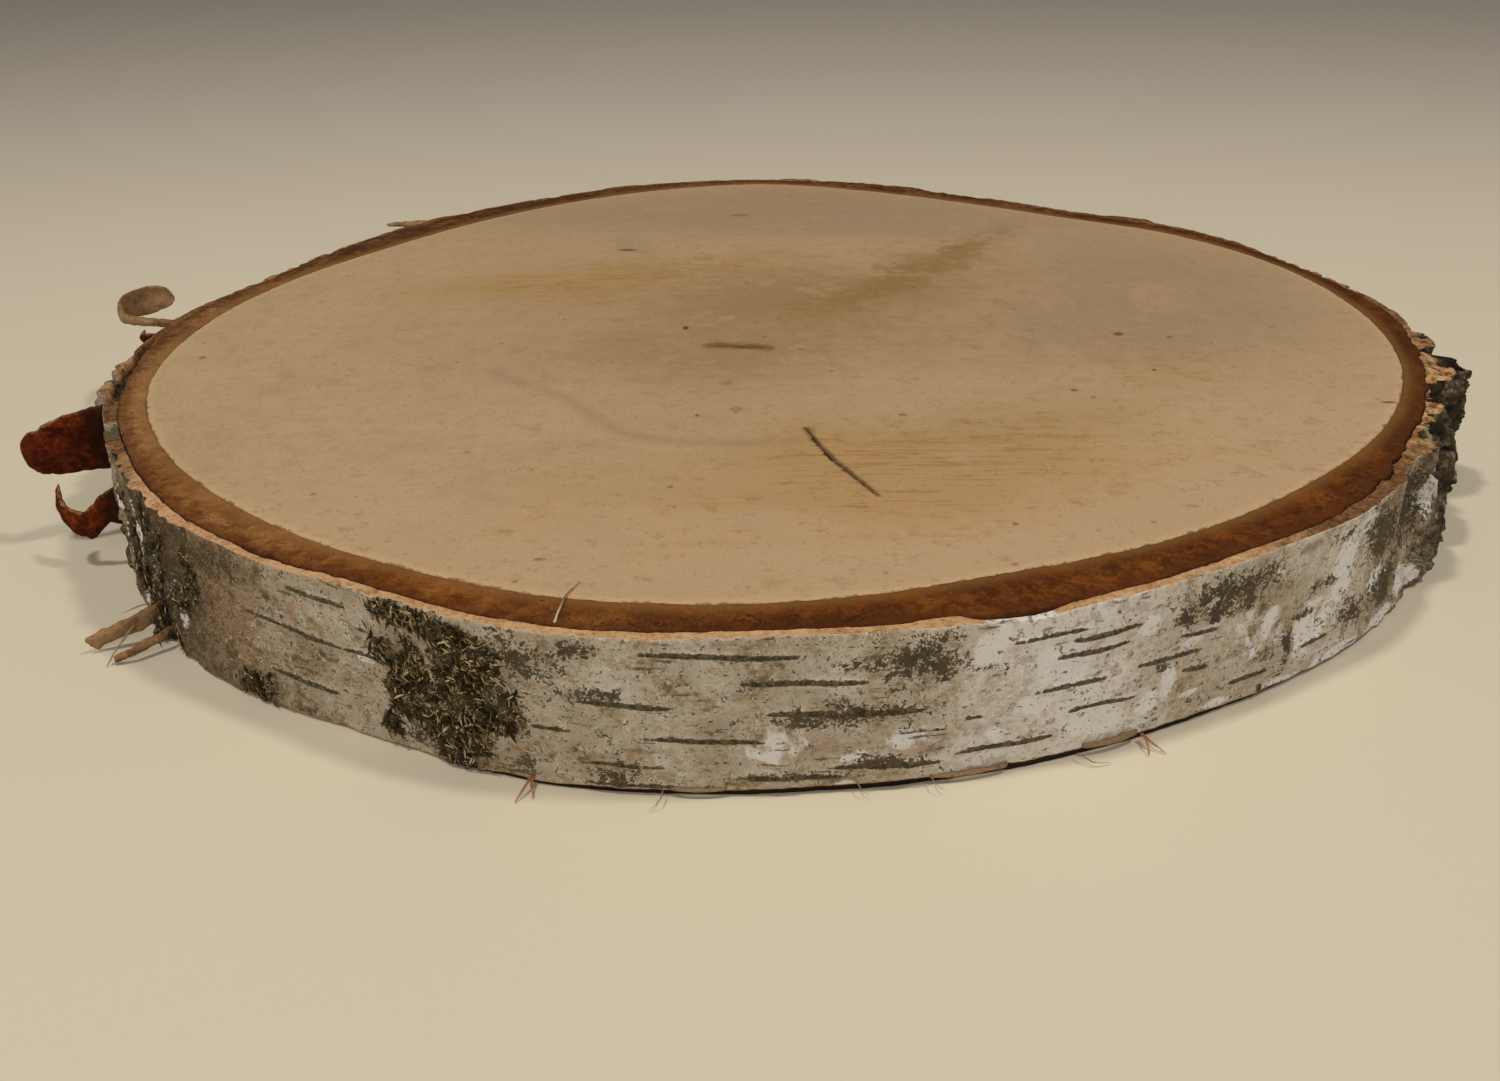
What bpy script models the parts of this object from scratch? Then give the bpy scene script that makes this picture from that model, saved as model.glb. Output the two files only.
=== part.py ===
"""A birch wood slice: a sawn disc of pale wood inside a ring of brown inner bark and a papery outer bark.

The slice lies flat on its sawn underside, +Z up. The origin is the middle of the rim's outline, on the surface
that the slice stands on. Angles run anticlockwise from +X, seen from above. -Y is the front.
"""

import math

import bmesh
import bpy
from mathutils import Vector, noise

MM = 0.001

# Driving dimensions, in metres
THICKNESS = 30 * MM
GAP = 0.3 * MM
BARK_LIFT = 1.2 * MM
INNER_BARK_LIFT = 0.5 * MM
SAW_EDGE = 0.4 * MM

# Radii in millimetres of the bark's outer rim and of the wood's edge, every 15 degrees from +X
RIM_RADII = (
    152.4, 149.3, 147.0, 138.0, 138.0, 144.8, 147.9, 148.6, 146.0, 145.0, 145.0, 145.3,
    152.0, 154.0, 153.4, 152.0, 148.3, 149.0, 145.5, 145.4, 144.8, 147.8, 147.0, 150.4,
)
WOOD_RADII = (
    144.4, 143.2, 138.0, 128.6, 127.6, 132.6, 140.2, 138.6, 134.7, 131.6, 131.3, 136.6,
    142.2, 145.6, 144.5, 142.0, 139.9, 139.0, 136.1, 132.7, 133.9, 135.9, 140.0, 143.4,
)
# Thickness in millimetres of the papery layer on the sawn face, every 15 degrees from +X
PAPER_THICKNESS = (
    1.8, 1.6, 1.8, 1.8, 1.6, 1.4, 1.4, 1.4, 1.6, 1.8, 1.8, 2.0,
    2.4, 2.6, 2.8, 1.8, 1.6, 1.8, 1.7, 1.4, 2.2, 2.0, 1.6, 1.6,
)
# How far, in millimetres, the bark's foot stands out past its rim, every 15 degrees from +X
FOOT_FLARE = (
    1.0, 0.5, 0.5, 0.5, 0.5, 0.5, 0.5, 0.5, 0.5, 0.5, 0.5, 0.5,
    1.0, 1.0, 1.5, 2.0, 0.4, -0.6, 0.4, -0.6, 0.8, 1.6, 5.6, 4.0,
)

# Corky lumps: angle and half-width in degrees, mid-height, half-height and proudness in millimetres
BARK_LUMPS = (
    (351.0, 2.0, 26.0, 8.0, 3.2),
    (344.6, 3.4, 23.0, 13.0, 8.6),
    (350.4, 3.0, 8.0, 8.0, 5.0),
    (343.0, 3.2, 4.0, 9.0, 3.6),
    (334.6, 3.2, 19.0, 11.0, 5.2),
    (336.4, 2.6, 3.0, 7.0, 3.2),
    (329.0, 2.8, 12.0, 13.0, 4.8),
    (326.8, 2.2, 22.0, 12.0, 4.2),
    (357.0, 2.2, 14.0, 14.0, 3.0),
    (2.6, 2.4, 18.0, 10.0, 2.4),
    (7.4, 2.0, 8.0, 9.0, 2.2),
    (195.6, 1.7, 27.0, 5.0, 3.4),
    (191.4, 1.4, 28.0, 5.0, 2.2),
    (38.0, 2.6, 25.0, 10.0, 3.0),
    (85.4, 2.6, 24.0, 11.0, 3.0),
    (110.0, 2.4, 24.0, 11.0, 1.6),
    (136.8, 2.0, 24.0, 11.0, 1.4),
    (152.0, 2.4, 12.0, 10.0, 2.2),
)
# Rough zones: middle angle and half-width in degrees, and relief in millimetres
ROUGH_ZONES = (
    (248.0, 5.5, 1.1),
    (219.0, 7.0, 1.3),
    (340.0, 16.0, 1.6),
    (312.0, 8.0, 0.6),
    (12.0, 9.0, 0.9),
    (80.0, 9.0, 0.8),
    (158.0, 10.0, 0.9),
)
PLAIN_RELIEF = 0.3 * MM
RELIEF_SIZE = 5.5 * MM
RELIEF_STRETCH = 0.55

# Chips out of the papery layer's upper edge: middle angle and half-width in degrees, and depth in millimetres
EDGE_CHIPS = ((283.4, 2.6, 1.3), (234.0, 3.4, 0.6), (321.0, 2.6, 1.0), (63.0, 4.0, 0.9), (205.0, 3.0, 0.8))

# Peeling bark, as stations along each peel: x, y, lower edge and upper edge, all in millimetres
CURL_TAN = (
    (-149.8, 3.2, 27.6, 29.8), (-156.0, 4.2, 27.6, 29.8), (-163.0, 6.3, 27.2, 29.6), (-169.0, 11.0, 26.2, 29.6),
    (-173.2, 18.4, 24.8, 29.4), (-174.6, 26.0, 23.0, 29.6), (-171.4, 32.0, 22.0, 29.8), (-167.0, 33.2, 23.6, 29.4),
    (-164.0, 31.0, 25.6, 28.8),
)
CURL_SHORT = (
    (-150.6, -4.0, 24.0, 28.8), (-154.4, -3.6, 24.6, 28.6), (-157.8, -1.8, 25.2, 28.4), (-159.4, 1.2, 26.0, 28.0),
)
CURL_TOP = (
    (-143.6, -50.6, 15.0, 29.6), (-148.2, -53.8, 15.4, 29.6), (-152.6, -57.2, 15.8, 28.8),
    (-156.8, -59.4, 16.4, 28.0), (-160.0, -58.8, 17.4, 27.0), (-161.2, -56.6, 19.0, 25.4),
)
CURL_LOW = (
    (-137.4, -67.5, 9.0, 18.6), (-141.6, -69.0, 9.4, 16.6), (-145.4, -70.2, 6.4, 13.4),
    (-149.4, -69.4, 7.2, 14.6), (-152.0, -66.2, 9.6, 17.6),
)
STRIP_BACK = (
    (-106.3, 97.4, 25.4, 29.4), (-109.8, 99.8, 25.8, 29.2), (-115.6, 100.4, 26.8, 29.0), (-122.0, 98.8, 27.8, 28.8),
)
STRIP_WIDE = (
    (-119.8, -95.6, 3.4, 7.4), (-123.6, -98.4, 2.6, 6.4), (-127.6, -101.0, 1.6, 5.2), (-131.4, -103.0, 0.8, 4.0),
)
STRIP_FOOT = (
    (-116.2, -99.8, 2.0, 5.4), (-119.6, -103.0, 1.4, 4.6), (-123.0, -105.8, 0.8, 3.6), (-126.0, -107.4, 0.4, 2.6),
)
PEELS = (
    ("curl_tan", CURL_TAN, 1.0), ("curl_short", CURL_SHORT, 1.0), ("curl_top", CURL_TOP, 1.6),
    ("curl_low", CURL_LOW, 1.4), ("strip_back", STRIP_BACK, 1.2), ("strip_wide", STRIP_WIDE, 1.0),
    ("strip_foot", STRIP_FOOT, 1.0),
)
PEEL_STEPS = 3

# The drying crack's middle line and half-widths, and the check at the pith, in millimetres
CRACK = ((4.0, -70.0, 0.15), (6.0, -77.5, 0.5), (8.4, -84.6, 0.45), (11.8, -92.0, 0.4), (15.6, -100.4, 0.12))
CRACK_DEPTH = 6 * MM
PITH_CHECK = ((-16.0, -21.4, 0.12), (-12.6, -21.6, 0.5), (-9.4, -22.2, 0.9), (-6.0, -22.8, 0.6), (-2.8, -23.6, 0.12))
PITH_DEPTH = 3 * MM
GROOVE_OVER = 1 * MM
GROOVE_END_SHARE = 0.3

# Facets round the slice and up the bark
ROUND_STEPS = 240
BARK_ROWS = 8

SHARP_ANGLE = math.radians(40)


def clear_scene():
    for old in list(bpy.data.objects):
        bpy.data.objects.remove(old)


def material(name, colour, roughness):
    made = bpy.data.materials.new(name)
    made.use_nodes = True
    shader = made.node_tree.nodes["Principled BSDF"]
    shader.inputs["Base Color"].default_value = (*colour, 1)
    shader.inputs["Roughness"].default_value = roughness
    shader.inputs["Metallic"].default_value = 0.0
    made.diffuse_color = (*colour, 1)
    return made


def smooth(a, b, c, d, t):
    """The value a share t of the way from b to c, on a smooth curve through a, b, c and d."""
    return b + t * ((c - a) / 2 + t * ((2 * a - 5 * b + 4 * c - d) / 2 + t * (3 * b - a - 3 * c + d) / 2))


def around(values, angle):
    """The value at an angle in degrees on the smooth closed curve through evenly spaced values, in metres."""
    place = (angle % 360) / 360 * len(values)
    start = int(place)
    near = [values[(start + k) % len(values)] for k in (-1, 0, 1, 2)]
    return smooth(*near, place - start) * MM


def turn(angle, middle):
    """The angle from a middle direction, between -180 and 180 degrees."""
    return (angle - middle + 180) % 360 - 180


def at(angle, radius, z):
    return Vector((radius * math.cos(math.radians(angle)), radius * math.sin(math.radians(angle)), z))


def lumps(angle, z):
    """How far the corky lumps stand out. Clefts stay between neighbours, because only the tallest counts."""
    tallest = 0.0
    for middle, half_width, mid_height, half_height, proud in BARK_LUMPS:
        across = turn(angle, middle) / half_width
        up = (z / MM - mid_height) / half_height
        tallest = max(tallest, proud * math.exp(-(across**4) - up**4))
    return tallest * MM


def relief(angle, radius, z):
    """Fine unevenness of the bark, stronger in the rough zones."""
    strength = PLAIN_RELIEF
    for middle, half_width, height in ROUGH_ZONES:
        strength += height * MM * math.exp(-((turn(angle, middle) / half_width) ** 4))
    place = at(angle, radius, z * RELIEF_STRETCH) / RELIEF_SIZE
    return strength * noise.noise(place)


def chipped(angle):
    """How far the papery layer's upper edge lies below the sawn face."""
    deepest = 0.0
    for middle, half_width, depth in EDGE_CHIPS:
        deepest = max(deepest, depth * math.exp(-((turn(angle, middle) / half_width) ** 4)))
    return deepest * MM


def rim(angle):
    return around(RIM_RADII, angle)


def bark_outside(angle, z):
    down = 1 - z / THICKNESS
    radius = rim(angle) + around(FOOT_FLARE, angle) * down * down + lumps(angle, z)
    return radius + relief(angle, radius, z)


def paper_inside(angle):
    """The face between the papery outer bark and the inner bark."""
    return rim(angle) - around(PAPER_THICKNESS, angle)


def wood_edge(angle):
    return around(WOOD_RADII, angle)


def finish(name, shape, finish_material):
    """Turns a bmesh into a shaded object with its faces pointing out."""
    bmesh.ops.recalc_face_normals(shape, faces=shape.faces)
    mesh = bpy.data.meshes.new(name)
    shape.to_mesh(mesh)
    shape.free()
    if finish_material:
        mesh.materials.append(finish_material)
    mesh.shade_smooth()
    mesh.set_sharp_from_angle(angle=SHARP_ANGLE)
    made = bpy.data.objects.new(name, mesh)
    bpy.context.scene.collection.objects.link(made)
    return made


def swept(sections, closed):
    """A bmesh through equal sections of points, joined end to end in a ring or capped at both ends."""
    shape = bmesh.new()
    rows = [[shape.verts.new(point) for point in section] for section in sections]
    pairs = list(zip(rows, rows[1:] + rows[:1])) if closed else list(zip(rows, rows[1:]))
    for one, two in pairs:
        for k in range(len(one)):
            after = (k + 1) % len(one)
            shape.faces.new((one[k], one[after], two[after], two[k]))
    if not closed:
        shape.faces.new(rows[0])
        shape.faces.new(rows[-1])
    return shape


def ring_angles():
    return [360 * step / ROUND_STEPS for step in range(ROUND_STEPS)]


def make_wood(finish_material):
    """The sawn disc, with its two rims just broken by the saw."""
    shape = bmesh.new()
    levels = ((0.0, SAW_EDGE), (SAW_EDGE, 0.0), (THICKNESS - SAW_EDGE, 0.0), (THICKNESS, SAW_EDGE))
    rings = []
    for z, inset in levels:
        ring = [shape.verts.new(at(angle, wood_edge(angle) - GAP / 2 - inset, z)) for angle in ring_angles()]
        rings.append(ring)
    for low, high in zip(rings, rings[1:]):
        for k in range(ROUND_STEPS):
            after = (k + 1) % ROUND_STEPS
            shape.faces.new((low[k], low[after], high[after], high[k]))
    shape.faces.new(rings[0])
    shape.faces.new(rings[-1])
    return finish("wood_disc", shape, finish_material)


def groove(name, line, depth):
    """A cutter with a pointed foot, shallow at both ends, along a middle line on the top face."""
    sections = []
    for k, (x, y, half_width) in enumerate(line):
        before = line[max(k - 1, 0)]
        after = line[min(k + 1, len(line) - 1)]
        along = Vector((after[0] - before[0], after[1] - before[1], 0)).normalized()
        side = Vector((along.y, -along.x, 0)) * half_width * MM
        middle = Vector((x * MM, y * MM, THICKNESS))
        over = Vector((0, 0, GROOVE_OVER))
        share = GROOVE_END_SHARE if k in (0, len(line) - 1) else 1.0
        foot = middle - Vector((0, 0, depth * share))
        sections.append((middle - side + over, middle + side + over, foot))
    cutter = finish(name, swept(sections, closed=False), None)
    cutter.hide_render = True
    cutter.display_type = "WIRE"
    return cutter


def cut(body, cutter):
    modifier = body.modifiers.new(cutter.name, "BOOLEAN")
    modifier.operation = "DIFFERENCE"
    modifier.object = cutter


def make_inner_bark(finish_material):
    sections = []
    for angle in ring_angles():
        inside = wood_edge(angle) + GAP / 2
        outside = paper_inside(angle) - GAP / 2
        sections.append(
            (
                at(angle, inside, 0.0),
                at(angle, outside, INNER_BARK_LIFT),
                at(angle, outside, THICKNESS - SAW_EDGE),
                at(angle, outside - SAW_EDGE, THICKNESS),
                at(angle, inside, THICKNESS),
            )
        )
    return finish("inner_bark", swept(sections, closed=True), finish_material)


def make_outer_bark(finish_material):
    """The papery bark, with its rough zones and corky lumps raised from its surface."""
    sections = []
    for angle in ring_angles():
        inside = paper_inside(angle) + GAP / 2
        top = THICKNESS - chipped(angle)
        section = [at(angle, inside, BARK_LIFT)]
        for row in range(BARK_ROWS + 1):
            z = BARK_LIFT + (top - BARK_LIFT) * row / BARK_ROWS
            section.append(at(angle, bark_outside(angle, z), z))
        section.append(at(angle, inside, top))
        sections.append(section)
    return finish("outer_bark", swept(sections, closed=True), finish_material)


def make_peel(name, stations, thick):
    """One peeling strip: a thin upright sheet that follows its stations on a smooth curve."""
    ends = [stations[0], *stations, stations[-1]]
    line = []
    for k in range(len(stations) - 1):
        for step in range(PEEL_STEPS):
            line.append([smooth(*values, step / PEEL_STEPS) * MM for values in zip(*ends[k : k + 4])])
    line.append([value * MM for value in stations[-1]])
    sections = []
    for k, (x, y, low, high) in enumerate(line):
        before = line[max(k - 1, 0)]
        after = line[min(k + 1, len(line) - 1)]
        along = Vector((after[0] - before[0], after[1] - before[1], 0)).normalized()
        side = Vector((along.y, -along.x, 0)) * thick * MM / 2
        foot = Vector((x, y, low))
        head = Vector((x, y, high))
        sections.append((foot - side, foot + side, head + side, head - side))
    return finish(name, swept(sections, closed=False), None)


def join(body, pieces):
    """Fuses the pieces into the body, then removes them."""
    group = bpy.data.collections.new(body.name + "_pieces")
    bpy.context.scene.collection.children.link(group)
    for piece in pieces:
        bpy.context.scene.collection.objects.unlink(piece)
        group.objects.link(piece)
    modifier = body.modifiers.new("join", "BOOLEAN")
    modifier.operation = "UNION"
    modifier.operand_type = "COLLECTION"
    modifier.collection = group
    graph = bpy.context.evaluated_depsgraph_get()
    joined = bpy.data.meshes.new_from_object(body.evaluated_get(graph))
    body.modifiers.clear()
    body.data = joined
    for piece in pieces:
        bpy.data.objects.remove(piece)
    bpy.data.collections.remove(group)


def main():
    clear_scene()
    wood = make_wood(material("birch_wood", (0.62, 0.45, 0.29), 0.62))
    cut(wood, groove("crack_cutter", CRACK, CRACK_DEPTH))
    cut(wood, groove("pith_cutter", PITH_CHECK, PITH_DEPTH))
    make_inner_bark(material("inner_bark", (0.21, 0.075, 0.022), 0.8))
    bark = make_outer_bark(material("outer_bark", (0.36, 0.32, 0.25), 0.85))
    join(bark, [make_peel(name, stations, thick) for name, stations, thick in PEELS])


main()
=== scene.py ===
import math

import bmesh
import bpy
import numpy as np
from mathutils import Matrix, Vector


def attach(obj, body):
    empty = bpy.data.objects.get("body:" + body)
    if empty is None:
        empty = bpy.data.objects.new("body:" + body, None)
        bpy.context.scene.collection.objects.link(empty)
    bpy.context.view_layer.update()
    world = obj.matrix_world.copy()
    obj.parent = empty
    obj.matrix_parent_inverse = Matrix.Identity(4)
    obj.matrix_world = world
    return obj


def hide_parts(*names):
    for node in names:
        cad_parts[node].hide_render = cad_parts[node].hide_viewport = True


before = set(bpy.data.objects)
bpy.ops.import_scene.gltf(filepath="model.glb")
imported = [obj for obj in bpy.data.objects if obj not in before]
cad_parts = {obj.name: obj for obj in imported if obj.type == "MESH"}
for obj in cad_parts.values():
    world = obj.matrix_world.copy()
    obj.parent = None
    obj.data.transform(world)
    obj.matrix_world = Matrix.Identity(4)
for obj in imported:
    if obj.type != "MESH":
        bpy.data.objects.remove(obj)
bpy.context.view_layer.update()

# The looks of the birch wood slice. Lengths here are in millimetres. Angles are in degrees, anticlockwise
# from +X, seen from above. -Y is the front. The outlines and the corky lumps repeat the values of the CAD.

MM = 0.001
THICK = 30.0

# Tables with a value for every 15 degrees from +X: the radius of the bark's rim and of the wood's edge, how
# thick the papery bark is, and how far its foot stands out past the rim
RIM = (
    152.4, 149.3, 147.0, 138.0, 138.0, 144.8, 147.9, 148.6, 146.0, 145.0, 145.0, 145.3,
    152.0, 154.0, 153.4, 152.0, 148.3, 149.0, 145.5, 145.4, 144.8, 147.8, 147.0, 150.4,
)
WOOD = (
    144.4, 143.2, 138.0, 128.6, 127.6, 132.6, 140.2, 138.6, 134.7, 131.6, 131.3, 136.6,
    142.2, 145.6, 144.5, 142.0, 139.9, 139.0, 136.1, 132.7, 133.9, 135.9, 140.0, 143.4,
)
PAPER = (
    1.8, 1.6, 1.8, 1.8, 1.6, 1.4, 1.4, 1.4, 1.6, 1.8, 1.8, 2.0,
    2.4, 2.6, 2.8, 1.8, 1.6, 1.8, 1.7, 1.4, 2.2, 2.0, 1.6, 1.6,
)
FLARE = (
    1.0, 0.5, 0.5, 0.5, 0.5, 0.5, 0.5, 0.5, 0.5, 0.5, 0.5, 0.5,
    1.0, 1.0, 1.5, 2.0, 0.4, -0.6, 0.4, -0.6, 0.8, 1.6, 5.6, 4.0,
)
# Corky lumps: angle, half-width in degrees, mid-height, half-height, how far it stands out
LUMPS = (
    (351, 2, 26, 8, 3.2), (344.6, 3.4, 23, 13, 8.6), (350.4, 3, 8, 8, 5), (343, 3.2, 4, 9, 3.6),
    (334.6, 3.2, 19, 11, 5.2), (336.4, 2.6, 3, 7, 3.2), (329, 2.8, 12, 13, 4.8),
    (326.8, 2.2, 22, 12, 4.2), (357, 2.2, 14, 14, 3), (2.6, 2.4, 18, 10, 2.4), (7.4, 2, 8, 9, 2.2),
    (195.6, 1.7, 27, 5, 3.4), (191.4, 1.4, 28, 5, 2.2), (38, 2.6, 25, 10, 3), (85.4, 2.6, 24, 11, 3),
    (110, 2.4, 24, 11, 1.6), (136.8, 2, 24, 11, 1.4), (152, 2.4, 12, 10, 2.2),
)
# Chips out of the sawn edge: angle, half-width in degrees, depth
EDGE_CHIPS = (
    (283.4, 2.6, 0.7), (234, 3.4, 0.6), (321, 2.6, 1), (63, 4, 0.9), (205, 3, 0.8),
)
# Clefts that part the blocks of the corky end, seen on its sawn face, painted dark partly as shade: angle,
# half-width in degrees
CLEFTS = (
    (346.4, 0.9), (337.6, 0.8), (329.3, 0.8), (352.6, 0.6), (357.4, 0.5), (3.8, 0.6), (194, 0.5),
)
# Where the border of the inner bark and the papery bark is torn: middle, half-width, strength
JAGGED = (
    (322, 13, 1), (344, 10, 0.9), (236, 28, 0.35), (190, 12, 0.6), (80, 60, 0.4),
)
# Flaps of paper that lie over the inner bark: middle, half-width, how far in
FLAPS = ((278.5, 1.8, 1.2), (289.5, 3.0, 0.5), (320.0, 8.0, 0.5))
# Where the bark's outside reaches over its sawn edge
BARE = ((283.3, 2.3, 0.9), (205.0, 2.0, 0.6), (63.0, 3.0, 0.7))
# Corky zones of the bark: middle, half-width, strength
CORKY = (
    (339, 14.5, 1), (12, 8, 0.5), (80, 9, 0.5), (158, 10, 0.55), (193, 5, 0.45),
)
MM_PER_DEGREE = 2.58

# Lenticels that the photograph shows: first and last angle, first and last height, half-height
LENTICELS = (
    (235.3, 240.5, 26.2, 25.6, 0.36), (231, 240, 18.6, 16.9, 0.34), (239.5, 246, 16.9, 17.4, 0.30),
    (233, 239, 8.2, 7.2, 0.42), (253, 256.3, 12, 11.8, 0.34), (256.5, 262.5, 18.2, 17.2, 0.42),
    (260.5, 268, 11.6, 10.2, 0.40), (260.2, 270, 27.2, 26, 0.40), (266.5, 274, 21.6, 21, 0.42),
    (268, 278, 15.6, 15, 0.50), (266, 273, 3.7, 3, 0.46), (272, 279, 5, 4.5, 0.42),
    (283, 288, 25.3, 25.5, 0.32), (287, 291.9, 23.6, 23.9, 0.42), (285.4, 291.2, 20.9, 21.1, 0.34),
    (284.5, 289.8, 15, 15.2, 0.36), (287, 292.4, 10, 9.8, 0.36), (279.8, 286.4, 5.6, 5.8, 0.42),
    (292.2, 297.6, 15.6, 15.1, 0.38), (295.2, 298.8, 19, 18.1, 0.36), (295.9, 298.4, 11.8, 11.2, 0.38),
    (300.3, 304.2, 5.7, 5.3, 0.40), (307.4, 310.4, 7, 7.2, 0.34), (280.2, 281.4, 12, 12.1, 0.26),
    (256.6, 262.2, 6.1, 5.7, 0.28), (256.6, 262.6, 2.2, 1.8, 0.30), (276, 279.2, 10.9, 10.8, 0.18),
    (314, 318, 25, 25.4, 0.40), (317, 322, 12, 12.6, 0.40), (241, 242.4, 22.2, 22, 0.26),
)

# Patches of moss, dark lichen, chalky white and warm brown on the bark: angle, height, half-width in degrees,
# half-height, strength
MOSS = (
    (246, 27.2, 3.9, 2.6, 1), (249.3, 22.6, 3.6, 6, 1), (249, 15, 4.6, 7, 1.2), (245, 19, 2.6, 6, 0.65),
    (244.2, 10.5, 2.2, 5, 0.6), (247, 9, 3.4, 6.4, 0.9), (248, 3.6, 2.7, 4.6, 0.8),
    (242.9, 5.6, 1, 3.6, 0.75), (231.6, 2.8, 2.2, 4.6, 1), (225.4, 21, 0.8, 6.4, 0.9),
    (223.6, 13.6, 1.2, 5, 0.7), (218.6, 24, 1.6, 7, 0.7), (214.6, 12, 1.6, 12, 0.7),
    (219.4, 7, 1.2, 8, 0.9), (221.6, 19, 1, 8, 0.8), (216.8, 9, 1.2, 8, 0.9), (212, 22, 1.2, 7, 0.8),
    (220.8, 3.6, 1.8, 4.6, 1), (209.4, 9, 1, 9, 0.7),
)
LICHEN = (
    (253, 24.6, 2.5, 5.6, 0.75), (252.6, 11.8, 0.9, 3.2, 0.7), (276.8, 24.6, 3.6, 4.6, 0.78),
    (278, 22.4, 2, 2.3, 1), (273.4, 15, 5.4, 2.7, 0.85), (274.6, 14.8, 1.6, 1.6, 1),
    (275.6, 19, 2, 1.6, 0.5), (299.4, 25, 4.8, 3.8, 0.85), (296, 22.6, 1.6, 2.6, 0.9),
    (299, 21.4, 3.4, 2, 0.6), (309.2, 18.5, 1.9, 1.7, 0.8), (305.9, 8.4, 0.8, 5.8, 1),
    (306.8, 13.8, 1.6, 1.3, 0.9), (303.8, 8.4, 1.5, 1.6, 0.5), (313.4, 8.6, 4.4, 6, 0.7),
    (316.8, 22, 3.6, 7.6, 0.85), (322.4, 20, 3.6, 9, 0.95), (318.4, 9, 3.6, 6, 0.9),
    (258.6, 4.4, 1.8, 3.4, 0.5), (275.6, 5.2, 3, 1.5, 0.7), (269.8, 3.4, 4, 1.3, 0.5),
    (252.9, 4.4, 0.8, 1.8, 0.9), (256.8, 27.4, 1.6, 1.8, 0.5), (257.2, 19, 1.7, 1.5, 0.55),
    (267.3, 20.8, 1, 2, 0.6), (269.2, 13.6, 0.7, 1, 0.6), (266.2, 14.2, 0.5, 0.8, 0.7),
    (281.6, 20.8, 1.3, 2.2, 0.45), (227.6, 25.5, 4.6, 4, 0.55), (297.6, 5.2, 3.2, 1.7, 0.4),
    (219.6, 15, 7.6, 17, 0.5), (294.2, 14.3, 0.8, 1.2, 0.7), (245, 3.4, 3, 2, 0.55),
    (242.8, 13.6, 1.6, 2.4, 0.5), (303.8, 1.6, 0.5, 1.2, 0.8), (310.6, 26.6, 1.6, 2.2, 0.55),
    (338, 14, 13, 20, 0.62),
)
WHITE = (
    (286.6, 20, 2.4, 5, 1.2), (281.6, 25, 1.4, 4.4, 1.2), (289.4, 6.6, 2.4, 3.4, 1.1),
    (288.4, 13.4, 1.2, 2.2, 0.9), (284.6, 12.6, 1.6, 2.6, 0.8), (292.6, 22.6, 1.2, 2.6, 0.9),
    (282.6, 8, 1, 2, 0.7), (293.4, 7.4, 0.9, 2.4, 0.8), (295, 10.2, 0.7, 4.2, 0.7),
    (296.6, 17, 0.9, 0.9, 1), (296.8, 6.6, 1, 0.8, 1), (303.9, 25.1, 0.5, 0.6, 1.2),
    (316.4, 12.4, 1.7, 3.2, 0.9), (311.4, 19.4, 1.6, 8.4, 1), (313.2, 26.6, 1.4, 2, 0.7),
    (309, 10, 3.8, 7, 0.42), (303, 14, 2.6, 5, 0.3), (268.4, 10.4, 1.8, 4.2, 0.15),
    (273.2, 6.8, 1.4, 1.4, 0.4), (241.6, 16.3, 1, 0.8, 0.8), (307.6, 11, 2.2, 3.2, 0.5),
    (299.4, 2.2, 2, 1.2, 0.6), (319, 1.6, 3.4, 2, 1.1), (312, 1.2, 3.6, 1.6, 1), (306, 1.4, 2, 1.2, 0.8),
    (272.6, 1.6, 1.2, 0.9, 0.7), (326, 20, 1.2, 6, 0.8), (322.4, 5, 1.2, 4, 0.8),
    (327.6, 22, 1.5, 4.6, 1.6), (324.6, 3, 1.6, 2.8, 1.5), (331, 14, 0.8, 3.6, 0.9),
    (216.6, 20, 1.1, 7, 1.1), (223, 11, 0.8, 7, 0.8), (213.2, 14, 1, 6, 1), (218.6, 15, 0.8, 4.6, 1.1),
    (210.6, 20, 0.8, 6, 0.9), (215.4, 4, 0.9, 3.6, 0.8), (333, 12, 0.8, 4.6, 0.6),
    (276.6, 10, 2.2, 2.2, 0.25),
)
WARM = (
    (235.6, 20.8, 0.7, 3.2, 0.9), (236.2, 15.6, 0.8, 1.6, 0.6), (271, 9.4, 5.6, 4.6, 0.45),
    (277.6, 8.4, 2.6, 4, 0.5), (262.8, 22, 0.9, 1.2, 0.7), (288, 19.2, 0.5, 1.2, 0.5),
    (291.3, 18.4, 0.35, 1.8, 1), (229, 16, 5.4, 16, 0.5), (266.6, 28.2, 4, 1.6, 0.35),
    (245.2, 21.4, 0.35, 1, 1.5), (289, 18, 0.4, 0.9, 0.5), (236.8, 12, 2, 4, 0.35),
    (307.2, 27.6, 2, 1.6, 0.5), (328, 27, 2, 3, 0.4),
)
# How light the bark is all round: angle, tone
TONES = (
    (0, 0.26), (14, 0.32), (30, 0.52), (55, 0.48), (75, 0.38), (95, 0.54), (120, 0.58), (145, 0.48),
    (165, 0.34), (188, 0.28), (198, 0.42), (206, 0.44), (212, 0.28), (222, 0.18), (229, 0.27),
    (236, 0.43), (242, 0.54), (250, 0.50), (258, 0.56), (266, 0.60), (274, 0.58), (279, 0.64),
    (281, 0.86), (288, 0.92), (293, 0.80), (297, 0.58), (304, 0.58), (311, 0.74), (316, 0.54),
    (323, 0.42), (334, 0.26), (348, 0.14),
)


def around(values, angle):
    """The value at each angle on the smooth closed curve through evenly spaced values."""
    values = np.array(values)
    place = np.mod(angle, 360) / 360 * len(values)
    start = np.floor(place).astype(int)
    t = place - start
    a, b, c, d = (values[(start + k) % len(values)] for k in (-1, 0, 1, 2))
    return b + t * ((c - a) / 2 + t * ((2 * a - 5 * b + 4 * c - d) / 2 + t * (3 * b - a - 3 * c + d) / 2))


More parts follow.
